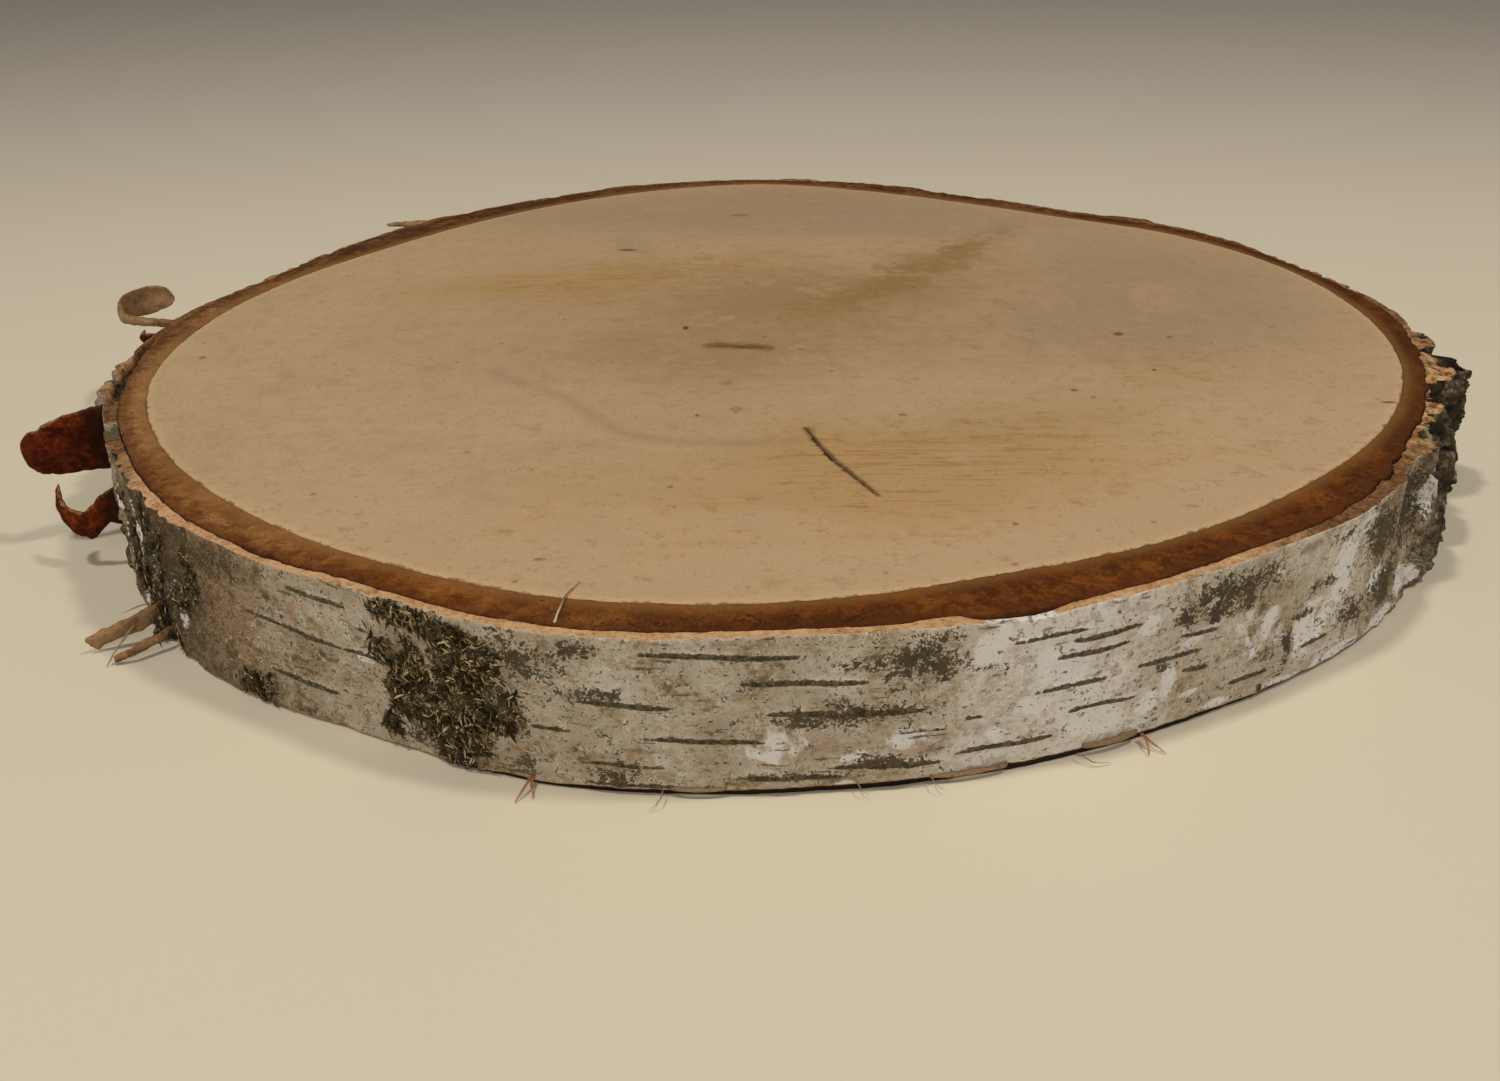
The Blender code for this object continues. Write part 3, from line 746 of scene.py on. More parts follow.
def make_moss(paint):
    """Leafy sprigs that stand off the mossy patches of the bark, all in one piece."""
    draw = np.random.default_rng(31)
    angle = np.concatenate([draw.uniform(*arc, SPRIG_TRIES // 2) for arc in MOSS_ARCS])
    z = draw.uniform(0.6, 29.4, SPRIG_TRIES)
    radius, place, _, _ = bark_surface(angle, z)
    mossy = bark_fields(angle, z, place)["moss"] + 0.25 * cloud(place, 1.6, 231, 2)
    kept = np.flatnonzero(mossy > draw.uniform(0.1, 0.8, SPRIG_TRIES))[:MOST_SPRIGS]
    angle, z, radius = angle[kept], z[kept], radius[kept]
    count = len(kept)
    turned = np.radians(angle)
    out = np.stack([np.cos(turned), np.sin(turned), 0 * turned], -1)
    level = np.stack([-np.sin(turned), np.cos(turned), 0 * turned], -1)
    up = np.array([0.0, 0.0, 1.0])
    leaning = draw.normal(-0.4, 1.3, count)
    flat = level * np.cos(leaning)[:, None] + up * np.sin(leaning)[:, None]
    lift = draw.uniform(-0.05, 0.4, count)[:, None]
    ahead = flat + lift * out
    side = np.cross(ahead, out)
    side /= np.linalg.norm(side, axis=1)[:, None]
    lengths = draw.uniform(0.6, 2.5, count)[:, None]
    curl = draw.uniform(-1.3, 1.3, count)[:, None] * side - 0.25 * out
    wide = draw.uniform(0.10, 0.27, count)[:, None]
    root = at(angle, radius + 0.35, z)
    stations = []
    for share in np.linspace(0, 1, 5):
        middle = root + ahead * lengths * share + curl * lengths * share**2 * 0.5
        half = wide * (0.25 + 3.0 * share * (1 - share) ** 0.8)
        ridge, keel = middle + out * half * 0.5, middle - out * half * 0.3
        stations.append([middle + side * half, ridge, middle - side * half, keel])
    points = np.transpose(np.array(stations), (2, 0, 1, 3))
    points[..., 2] = np.clip(points[..., 2], 0.6, THICK - 0.05)
    one = np.array(quads(5, 4, False, True) + [[3, 2, 1, 0], [16, 17, 18, 19]])
    faces = (one[None] + 20 * np.arange(count)[:, None, None]).reshape(-1, 4)
    shade = np.broadcast_to(draw.uniform(0, 1, count)[:, None, None], (count, 5, 4))
    build("moss_sprigs", points, faces.tolist(), paint, {"shade": shade})


def moss_paint():
    p = Paint("moss")
    mottle = p.noise(2.6, 4, 0.65)
    grain = p.noise(0.5, 3, 0.65)
    p.colour = p.ramp(
        p.sum("shade", (mottle, 0.7), (grain, 0.3)), (0.0, (0.012, 0.008, 0.002)),
        (0.5, (0.052, 0.033, 0.010)), (0.70, (0.120, 0.082, 0.030)), (0.84, (0.29, 0.215, 0.105)),
        (0.96, (0.56, 0.45, 0.27)),
    )
    return p.finish(p.sum(0.8, (grain, 0.2)), ((mottle, 0.1), (grain, 0.05)), 0.15)


# The brown inner bark

# How much darker the ring is all round, partly painted shade at the back and right: angle, darkening
RING_DIMNESS = (
    (0, 0.24), (30, 0.22), (60, 0.24), (100, 0.32), (150, 0.40), (172, 0.18), (190, 0), (235, 0),
    (256, 0.08), (282, 0.08), (300, 0.06), (328, 0.11), (340, 0.21), (360, 0.24),
)
# Where the ring's outer half is crumbly: middle, half-width, strength
CRUMBLY = ((268, 11, 1), (196, 10, 0.6), (316, 14, 0.7))


def make_ring(paint):
    angles = np.arange(0, 360, 0.32)
    inner = wood_edge(angles) + 0.05
    outer = paper_inside(angles) - 0.12
    share = np.linspace(0, 1, 22)[:, None]
    radius = inner + (outer - inner) * share
    angle = np.broadcast_to(angles, radius.shape)
    flat = at(angle, radius, THICK + 0 * radius)
    crumbly = zone(angle, CRUMBLY) * step(share, 0.2, 0.8)
    grainy = 0.14 * cloud(flat, 1.5, 201, 3) + 0.12 * cloud(flat, 6.0, 205, 3)
    grainy = grainy - crumbly * 0.45 * step(cloud(flat, 2.4, 211, 3), 0.1, 0.5) - 0.06
    grainy = grainy - 0.35 * step(share, 0.93, 1.0) * step(cloud(flat, 5.0, 215, 3), -0.1, 0.4)
    flat[..., 2] += np.minimum(grainy, 0.10)
    across = np.broadcast_to(share, radius.shape)
    parts = [flat]
    shares = [across]
    side = np.zeros((3, len(angles)))
    levels = np.array([[29.2], [15.0], [1.8]]) + side
    parts.append(at(angles + side, outer + side, levels))
    shares.append(side + 1)
    sole = np.array([[0.75], [0.4], [0.0]])
    under = inner + (outer - inner) * sole
    sole_place = at(np.broadcast_to(angles, under.shape), under, 0 * under)
    lifted = zone(angles, BARK_LIFTED)
    sole_place[..., 2] = 0.04 + (0.5 + 1.1 * lifted) * sole + 0.1 * np.abs(cloud(sole_place, 3.0, 221, 2))
    parts.append(sole_place)
    shares.append(sole + side)
    points = np.concatenate(parts)
    edge = np.concatenate(shares)
    width = np.broadcast_to(outer - inner, edge.shape)
    turned = np.broadcast_to(angles, edge.shape)
    red = 0.5 + 0.5 * np.cos(np.radians(turned - 318)) + 0.15 * cloud(points, 30.0, 225, 3)
    crumbs = np.zeros(edge.shape)
    crumbs[: len(share)] = crumbly
    dim = np.interp(np.mod(turned, 360), *zip(*RING_DIMNESS))
    values = {"edge": edge * width, "rest": (1 - edge) * width, "red": red, "crumb": crumbs, "dim": dim}
    made = build("inner_bark_ring", points, quads(*points.shape[:2], True, True), paint, values)
    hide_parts("inner_bark")


def ring_paint():
    p = Paint("inner_bark")
    broad = p.noise(18, 3, 0.55)
    mottle = p.noise(4.2, 5, 0.66, distort=0.4)
    patchy = p.noise(1.7, 4, 0.68)
    grain = p.noise(0.7, 4, 0.7)
    speck = p.noise(0.4, 2, 0.6)
    # The dimness lowers the tone, partly as painted shade at the back and right
    shades = ((broad, 0.7), (mottle, 1.2), (patchy, 0.6), (grain, 0.55), ("red", -0.10, 0.5), ("dim", -1.0))
    tone = p.sum(0.5, *shades)
    brown = p.ramp(
        tone, (0.1, (0.060, 0.022, 0.006)), (0.38, (0.175, 0.075, 0.022)), (0.58, (0.29, 0.143, 0.052)),
        (0.85, (0.43, 0.25, 0.110)),
    )
    rusty = p.ramp(
        tone, (0.1, (0.032, 0.007, 0.0008)), (0.38, (0.118, 0.033, 0.0038)), (0.58, (0.215, 0.069, 0.0095)),
        (0.85, (0.35, 0.138, 0.030)),
    )
    p.colour = p.mix(p.rise(0.15, 0.85, "red"), brown, rusty)
    # Crumbs, the lighter inner and darker outer border, its line of painted gap shadow, and dark and light
    # specks
    crumbs = (("crumb", 0.55), (mottle, 1.4), (patchy, 2.4), (grain, 1.6))
    p.coat((0.026, 0.008, 0.003), 0.46, 0.62, *crumbs, most=0.85)
    p.coat((0.30, 0.150, 0.048), 4.2, 0.4, "edge", (patchy, 4.0), (mottle, 6.0), ("red", 0.8), most=0.5)
    p.coat((0.095, 0.026, 0.005), 3.6, 0.8, "rest", (mottle, 5.0), (patchy, 3.0), most=0.55)
    # Painted shadow: near-black along the ring's outer edge and down its outer wall, in the gap by the paper
    p.coat((0.035, 0.012, 0.005), 0.50, 0.0, "rest", (grain, 2.0), (patchy, 3.0), most=0.45)
    p.coat((0.030, 0.010, 0.004), 0.67, 0.73, speck, (mottle, 0.5), most=0.7)
    p.coat((0.42, 0.22, 0.085), 0.69, 0.77, speck, (grain, 0.5), most=0.4)
    bumps = ((mottle, 0.35), (patchy, 0.2), (grain, 0.3), (speck, 0.08))
    return p.finish(p.sum(0.84, (grain, 0.2)), bumps, 0.12)


# The sawn wood

WOOD_REACH = 140
EDGE_COLUMNS = 560
SAW_EDGE = 0.28
PITH = (-10.0, -22.0)
# Middle line and half-width of the drying crack and of the check at the pith: x, y, half-width
CRACK = (
    (4, -70, 0.12), (6, -77.5, 0.55), (8.4, -84.6, 0.62), (11.8, -92, 0.45), (15.6, -100.4, 0.12),
)
PITH_CHECK = (
    (-16, -21.4, 0.12), (-12.6, -21.6, 0.55), (-9.4, -22.2, 1.05), (-6, -22.8, 0.85), (-2.8, -23.6, 0.14),
)
# Soft-edged tones on the sawn face: x, y, half-width along X, half-width along Y, strength
STAIN = (
    (-62, 22, 24, 13, 0.8), (-42, 32, 24, 13, 0.9), (-18, 46, 24, 13, 0.8), (-84, 30, 20, 16, 0.5),
    (34, -84, 40, 17, 1), (16, -103, 34, 10, 0.9), (62, -62, 30, 14, 0.6), (88, -42, 18, 12, 0.6),
    (14, -78, 22, 9, 0.7), (-35, -92, 36, 13, 0.4), (-47, -110, 16, 6, 0.35), (-6, -118, 26, 6, 0.45),
    (52, 52, 16, 22, 0.5), (-100, 0, 20, 30, 0.3),
)
# The wide BROWN and GREY spots at the right and at the back darken those sides, partly as painted shade
BROWN = (
    (-4, 8, 22, 11, 0.4), (20, 20, 24, 13, 0.5), (44, 40, 15, 14, 0.4), (6, 18, 82, 50, 0.62),
    (43, -70, 32, 13, 0.4), (-24, -30, 40, 20, 0.4), (104, 10, 34, 56, 0.3), (0, 104, 90, 30, 0.3),
    (84, -30, 26, 20, 0.3), (10, -20, 50, 30, 0.3),
)
GREY = (
    (16, 89, 32, 11, 0.7), (49, 83, 28, 11, 0.8), (62, -16, 22, 18, 0.5), (42, -40, 18, 8, 0.45),
    (104, 14, 36, 54, 1), (0, 104, 100, 34, 1), (-56, -34, 18, 10, 0.4), (-42, 60, 4, 3, 0.8),
    (58, -51, 6, 3, 0.5), (-10, 99, 14, 6, 0.4),
)
# Where growth rings show faintly
RINGS = (
    (60, -16, 26, 34, 1), (70, 24, 26, 34, 0.6), (-30, -48, 34, 20, 0.5), (20, 62, 40, 20, 0.5),
)
# Middle lines of the grey arc and of the olive streak: x, y
ARC = (
    (-66, -36), (-58, -44), (-47.5, -52.6), (-40, -63), (-33.2, -70.9), (-26, -74.6), (-19, -76.6),
    (-8, -77.4), (2.6, -76.9),
)
STREAK = ((2, 2), (20, 18), (32, 30), (43, 41), (52, 52), (60, 65), (68, 74))


def soft_spots(x, y, spots):
    total = np.zeros(np.shape(x))
    for middle_x, middle_y, wide, tall, strength in spots:
        total = total + strength * np.exp(-(((x - middle_x) / wide) ** 2 + ((y - middle_y) / tall) ** 2))
    return total


def beside(x, y, line):
    """Distance from a line of points, and the side: above 0 on its left."""
    best = np.full(np.shape(x), 999.0)
    side = np.zeros(np.shape(x))
    for (ax, ay), (bx, by) in zip(line, line[1:]):
        along_x, along_y = bx - ax, by - ay
        share = np.clip(((x - ax) * along_x + (y - ay) * along_y) / (along_x**2 + along_y**2), 0, 1)
        away = np.hypot(x - ax - share * along_x, y - ay - share * along_y)
        cross = along_x * (y - ay) - along_y * (x - ax)
        side = np.where(away < best, np.sign(cross), side)
        best = np.minimum(best, away)
    return best, side


def disc_rings(spacing, widest):
    """How far out each ring of points is, as a share, and its number of points, from the edge inwards."""
    steps = int(round(WOOD_REACH / spacing))
    rings = []
    for k in range(steps, 0, -1):
        around_it = 2 * math.pi * WOOD_REACH * k / steps
        columns = EDGE_COLUMNS // 16
        while around_it / columns > widest and columns < EDGE_COLUMNS:
            columns *= 2
        rings.append((k / steps, columns))
    return rings


def bridge(one, two):
    """Faces between two rings of points, with as many points each or twice as many in one of them."""
    few, many = (one, two) if len(one) <= len(two) else (two, one)
    if len(few) == len(many):
        return np.stack([one, np.roll(one, -1), np.roll(two, -1), two], -1).tolist()
    faces = []
    for k in range(len(few)):
        a, b = few[k], few[(k + 1) % len(few)]
        c, d, e = many[2 * k], many[2 * k + 1], many[(2 * k + 2) % len(many)]
        faces += [[a, c, d], [a, d, b], [b, d, e]]
    return faces


def make_wood(paint):
    points, rings = [], []

    def add_ring(share, columns, z, inset=0.0):
        angles = np.arange(columns) * 360 / columns
        radius = wood_edge(angles) - inset
        edge = at(angles, radius + 0.12 * cloud(at(angles, radius, 0 * angles), 1.6, 301, 2), z + 0 * angles)
        ring = edge * share + np.array([*PITH, 0]) * (1 - share)
        ring[:, 2] = z
        rings.append(len(points) + np.arange(columns))
        points.extend(ring)

    for share, columns in reversed(disc_rings(1.1, 1.7)):
        add_ring(share, columns, THICK, SAW_EDGE if share == 1 else 0.0)
    add_ring(1.0, EDGE_COLUMNS, THICK - SAW_EDGE)
    add_ring(1.0, EDGE_COLUMNS, 0.3)
    for share, columns in disc_rings(3.2, 4.5):
        add_ring(share, EDGE_COLUMNS if share == 1 else columns, 0.0, 0.3 if share == 1 else 0.0)
    faces = [list(rings[0]), list(rings[-1])]
    for one, two in zip(rings, rings[1:]):
        faces += bridge(one, two)
    points = np.array(points)
    top = points[:, 2] > THICK - 0.01
    points[top, 2] += np.minimum(0.03 * cloud(points[top], 9.0, 305, 3), 0)
    made = plain_object("sawn_wood", points, faces)
    turn_outwards(made.data)
    for name, line, depth, seed in (("crack_cutter", CRACK, 5.0, 7), ("pith_cutter", PITH_CHECK, 2.6, 8)):
        cut(made, jagged_groove(name, line, depth, seed))
    made.data.materials.append(paint)
    made.data.shade_smooth()
    wood_fields(made.data)
    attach(made, "root")
    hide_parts("wood_disc")


def jagged_groove(name, line, depth, seed):
    """A cutter with rough sides along a middle line on the sawn face."""
    draw = np.random.default_rng(seed)
    line = np.array(line)
    lengths = np.concatenate([[0], np.cumsum(np.hypot(*np.diff(line[:, :2], axis=0).T))])
    places = np.linspace(0, lengths[-1], int(lengths[-1] / 0.8) + 2)
    x, y, half = (np.interp(places, lengths, line[:, k]) for k in range(3))
    along = np.stack([np.gradient(x), np.gradient(y)], -1)
    along /= np.hypot(*along.T)[:, None]
    side = np.stack([along[:, 1], -along[:, 0]], -1)
    rough = np.minimum(half / 0.4, 1)
    left = half * (1 + draw.uniform(-0.45, 0.5, len(x)))
    right = half * (1 + draw.uniform(-0.45, 0.5, len(x)))
    shift = rough * draw.uniform(-0.22, 0.22, len(x))
    deep = depth * np.clip(half / half.max(), 0.2, 1) ** 0.6
    sections = []
    for k in range(len(x)):
        middle = np.array([x[k], y[k]]) + side[k] * shift[k]
        one, two = middle - side[k] * left[k], middle + side[k] * right[k]
        low_one, low_two = middle * 0.3 + one * 0.7, middle * 0.3 + two * 0.7
        above, half_down = THICK + 1, THICK - deep[k] * 0.6
        sections.append([(*one, above), (*two, above), (*low_two, half_down), (*middle, THICK - deep[k]),
                         (*low_one, half_down)])
    points = np.array(sections).reshape(-1, 3)
    faces = quads(len(x), 5, False, True)
    faces += [list(range(5)), list(range(len(points) - 5, len(points)))]
    cutter = plain_object(name, points, faces)
    turn_outwards(cutter.data)
    return cutter


def cut(body, cutter):
    modifier = body.modifiers.new("cut", "BOOLEAN")
    modifier.operation = "DIFFERENCE"
    modifier.solver = "EXACT"
    modifier.object = cutter
    graph = bpy.context.evaluated_depsgraph_get()
    body.data = bpy.data.meshes.new_from_object(body.evaluated_get(graph))
    body.modifiers.clear()
    bpy.data.objects.remove(cutter)


def wood_fields(mesh):
    """Tones of the sawn face, from where each point lies, with painted shade inside the cracks and partly
    painted light and shade across the face.
    """
    place = np.empty(len(mesh.vertices) * 3)
    mesh.vertices.foreach_get("co", place)
    place = place.reshape(-1, 3) / MM
    x, y, z = place.T
    angle = np.degrees(np.arctan2(y, x))
    edge = wood_edge(angle) - np.hypot(x, y)
    flat = place * (1, 1, 0)
    warp_x = x + 5 * cloud(flat, 22.0, 311, 3)
    warp_y = y + 3 * cloud(flat, 22.0, 315, 3)
    crack, _ = beside(x, y, [point[:2] for point in CRACK])
    pith, _ = beside(x, y, [point[:2] for point in PITH_CHECK])
    arc, arc_side = beside(warp_x * 0.3 + x * 0.7, warp_y * 0.3 + y * 0.7, ARC)
    arc_tone = 0.8 * np.exp(-((arc / 2.2) ** 2)) + 0.55 * np.exp(-(arc / 7.0)) * (arc_side > 0)
    streak, _ = beside(warp_x, warp_y, STREAK)
    reach = step(x, -4, 22)
    # How far down inside the crack or check a point lies, which is painted near-black as shade
    deep = step(THICK - z, 0.15, 1.2) * step(np.minimum(crack, pith), 3.0, 1.5)
    away = np.hypot(x - PITH[0], y - PITH[1])
    whole = away + edge
    give(mesh, {
        "edge": np.clip(edge, -1, 60),
        "stain": soft_spots(warp_x, warp_y, STAIN),
        "brown": soft_spots(warp_x, warp_y, BROWN),
        "grey": soft_spots(warp_x, warp_y, GREY),
        "arc": arc_tone,
        "olive": np.exp(-((streak / 9.0) ** 2)) * (0.35 + 0.65 * reach),
        "rings": soft_spots(warp_x, warp_y, RINGS),
        "near_crack": np.exp(-((crack / 1.1) ** 2)) + np.exp(-((pith / 2.8) ** 2)),
        "deep": deep,
        "ring": away / np.maximum(whole, 1) + 0.012 * cloud(flat, 26.0, 321, 3),
        "front": step(0.25 * x - y, 40, 125) * step(edge, 60, 20),
    })


# Small marks on the sawn face: x, y, radius, stretch along X, darkness
DOTS = (
    (-22.4, -8.9, 1.7, 0.7, 1), (-41.9, 60.1, 2, 2, 0.75), (-9.3, 98.5, 2.4, 1.8, 0.4),
    (80.6, -17.4, 1.8, 1.1, 0.8), (82.3, -41, 1, 0.8, 0.8), (62, -52, 1.1, 1, 0.7),
    (92, -20, 1.2, 0.9, 0.5), (-134, -25, 1.6, 0.8, 0.5), (-12, -45, 2.4, 0.8, 0.25),
    (-10, -60, 2.2, 1, 0.3), (5, -25, 1.2, 1.2, 0.3), (125, -61, 0.9, 2.4, 0.8), (-42, -122, 0.9, 2, 0.5),
    (24, -64, 0.9, 1.4, 0.6), (-22, -96, 0.9, 1, 0.5), (38, -112, 0.9, 0.8, 0.6),
    (-18, -63, 0.9, 0.8, 0.7), (52, 58, 3, 1.6, 0.25),
)
# Noises that run from the pith outwards: the faint growth rings, and finer ones on them
RING_NOISES = (
    {"Scale": 34.0, "Detail": 3.0, "Roughness": 0.7},
    {"Scale": 95.0, "Detail": 2.0, "Roughness": 0.6},
)


def wood_paint():
    p = Paint("birch_wood")
    broad = p.noise(60, 3, 0.5)
    swell = p.noise(20, 4, 0.55, distort=0.4)
    mottle = p.noise(6.0, 5, 0.62)
    patchy = p.noise(2.4, 4, 0.65)
    fibre = p.noise(1.0, 4, 0.68)
    speck = p.noise(0.5, 2, 0.6)
    saw = p.noise(0.9, 4, 0.6, stretch=(0.07, 1, 0.07), turned=0.04)
    saw_wide = p.noise(3.2, 3, 0.6, stretch=(0.06, 1, 0.06), turned=0.04)
    across_rings = p.node("ShaderNodeCombineXYZ", {"X": p.value("ring"), "Y": 0.5, "Z": 0.5}).outputs[0]
    growth, fine_rings = (
        p.node("ShaderNodeTexNoise", {"Vector": across_rings, **noise}).outputs[0] for noise in RING_NOISES
    )
    shades = ((broad, 0.35), (swell, 0.45), (mottle, 0.5), (patchy, 0.45), (fibre, 0.5), (saw, 0.25))
    p.colour = p.ramp(
        p.sum(0.5, *shades, (growth, 0.20)), (0.2, (0.350, 0.232, 0.122)), (0.5, (0.460, 0.322, 0.186)),
        (0.8, (0.555, 0.408, 0.252)),
    )
    # Broad tones: pinkish and lighter in front, partly painted light; orange stains, brown heart, olive
    # streak, grey parts
    p.coat((0.525, 0.358, 0.213), 0.1, 0.9, "front", (swell, 0.5), most=0.6)
    stain = ("stain", (swell, 1.3), (saw_wide, 0.7), (mottle, 0.9), (patchy, 0.5))
    p.coat((0.430, 0.262, 0.100), 0.1, 1.1, *stain, most=0.75)
    # The brown and grey spots reach wide over the back and the right side, where they are partly painted
    # shade
    brown = ("brown", (swell, 1.4), (saw_wide, 0.5), (mottle, 1.3), (patchy, 0.6))
    p.coat((0.310, 0.192, 0.084), 0.0, 1.1, *brown, most=0.88)
    olive = ("olive", (swell, 0.9), (mottle, 2.0), (patchy, 1.3), (saw, 0.9))
    p.coat((0.275, 0.165, 0.052), 0.10, 1.10, *olive, most=0.82)
    p.coat((0.340, 0.240, 0.150), 0.10, 0.9, "grey", (swell, 0.9), (mottle, 0.5), most=0.6)
    # Faint growth rings, the grey arc and the short saw marks in the stains
    rings = p.rise(0.50, 0.72, growth, (fine_rings, 0.5), (mottle, 0.8))
    p.lay((0.29, 0.185, 0.105), p.math("MULTIPLY", rings, p.rise(0.1, 0.9, "rings", most=0.36)))
    p.coat((0.325, 0.215, 0.135), 0.15, 1.2, "arc", (swell, 0.8), (mottle, 0.9), (patchy, 0.5), most=0.5)
    dashes = p.rise(0.62, 0.72, saw, ("stain", 0.10), (patchy, 0.3))
    p.lay((0.335, 0.165, 0.050), p.math("MULTIPLY", dashes, p.rise(0.35, 1.1, "stain", most=0.55)))
    # The yellow border and its brown fur
    p.coat((0.600, 0.435, 0.225), 2.2, 0.7, "edge", (mottle, 3.0), (patchy, 2.0), most=0.35)
    p.coat((0.205, 0.095, 0.030), 0.30, -0.15, "edge", (fibre, 1.6), (patchy, 2.2), (mottle, 2.6), most=0.8)
    # Fine shades, specks and the small marks
    p.coat((0.245, 0.160, 0.076), 0.56, 0.70, fibre, (patchy, 0.8), (saw, 0.3), most=0.40)
    p.coat((0.350, 0.225, 0.110), 0.60, 0.80, mottle, (swell, 0.9), (patchy, 0.5), most=0.30)
    p.coat((0.560, 0.375, 0.235), 0.54, 0.74, swell, (mottle, 0.8), (fibre, 0.4), most=0.35)
    p.coat((0.20, 0.125, 0.055), 0.67, 0.74, speck, (mottle, 0.5), ("stain", 0.02), most=0.5)
    p.coat((0.14, 0.085, 0.040), 0.070, 0.035, p.cells(11.0), (patchy, 0.10), most=0.5)
    for x, y, radius, stretch, darkness in DOTS:
        dot = (p.spot(x, y, radius, stretch), (fibre, 0.9), (speck, 0.5))
        p.coat((0.090, 0.048, 0.016), 0.1, 0.6, *dot, most=darkness)
    p.coat((0.155, 0.085, 0.024), 0.35, 1.0, "near_crack", (fibre, 0.9), (patchy, 0.8), most=0.85)
    # Painted shade: near-black down inside the crack and the pith check
    p.coat((0.030, 0.019, 0.007), 0.0, 0.6, "deep")
    bumps = ((saw_wide, 0.07), (saw, 0.06), (fibre, 0.07), (speck, 0.03))
    return p.finish(p.sum(0.75, (fibre, 0.16), (saw, 0.1)), bumps, 0.3)


# Peeling bark

# Stations along each sheet that peels off: x, y, lowest and highest height
CURL_TAN = (
    (-149.8, 3.2, 27.6, 29.8), (-156, 4.2, 27.6, 29.8), (-163, 6.3, 27.2, 29.6), (-169, 11, 26.2, 29.6),
    (-173.2, 18.4, 24.8, 29.4), (-174.6, 26, 23, 29.6), (-171.4, 32, 22, 29.8), (-167, 33.2, 23.6, 29.4),
    (-164, 31, 25.6, 28.8),
)
CURL_SHORT = (
    (-150.6, -4, 24, 28.8), (-154.4, -3.6, 24.6, 28.6), (-157.8, -1.8, 25.2, 28.4), (-159.4, 1.2, 26, 28),
)
CURL_TOP = (
    (-143.6, -50.6, 15, 29.6), (-148.2, -53.8, 15.4, 29.6), (-152.6, -57.2, 15.8, 28.8),
    (-156.8, -59.4, 16.8, 27.4), (-160, -58.8, 18.2, 26.2), (-161.2, -56.6, 20, 24.6),
)
CURL_LOW = (
    (-137.4, -67.5, 9, 18.6), (-141.6, -69, 9.4, 16.6), (-145.4, -70.2, 6.4, 13.4),
    (-149.4, -69.4, 7.2, 14.6), (-152, -66.2, 9.6, 17.6),
)
STRIP_BACK = (
    (-106.3, 97.4, 25.4, 29.4), (-109.8, 99.8, 25.8, 29.2), (-115.6, 100.4, 26.8, 29),
    (-122, 98.8, 27.8, 28.8),
)
STRIP_WIDE = (
    (-119.8, -95.6, 3.4, 7.4), (-123.6, -98.4, 2.6, 6.4), (-127.6, -101, 1.6, 5.2),
    (-131.4, -103, 0.8, 4),
)
STRIP_FOOT = (
    (-116.2, -99.8, 2.6, 4.8), (-119.6, -103, 1.9, 3.9), (-123, -105.8, 1.2, 2.8),
    (-126, -107.4, 0.5, 1.6),
)
# Name, stations, thickness, how ragged the edges are, how pale each side is
PEELS = (
    ("curl_tan", CURL_TAN, 0.9, 0.35, 0.60, 0.70), ("curl_short", CURL_SHORT, 1.0, 0.5, 0.0, 0.1),
    ("curl_top", CURL_TOP, 1.5, 0.8, 0.25, 0.0), ("curl_low", CURL_LOW, 1.3, 0.9, 0.25, 0.0),
    ("strip_back", STRIP_BACK, 1.0, 0.4, 0.6, 0.6), ("strip_wide", STRIP_WIDE, 0.7, 0.6, 0.7, 0.5),
    ("strip_foot", STRIP_FOOT, 0.6, 0.5, 0.6, 0.4),
)


def along_curve(stations, count):
    line = np.array([stations[0], *stations, stations[-1]])
    places = np.linspace(0, len(stations) - 1 - 1e-6, count)
    start = np.floor(places).astype(int)
    t = (places - start)[:, None]
    a, b, c, d = (line[start + k] for k in range(4))
    return b + t * ((c - a) / 2 + t * ((2 * a - 5 * b + 4 * c - d) / 2 + t * (3 * b - a - 3 * c + d) / 2))


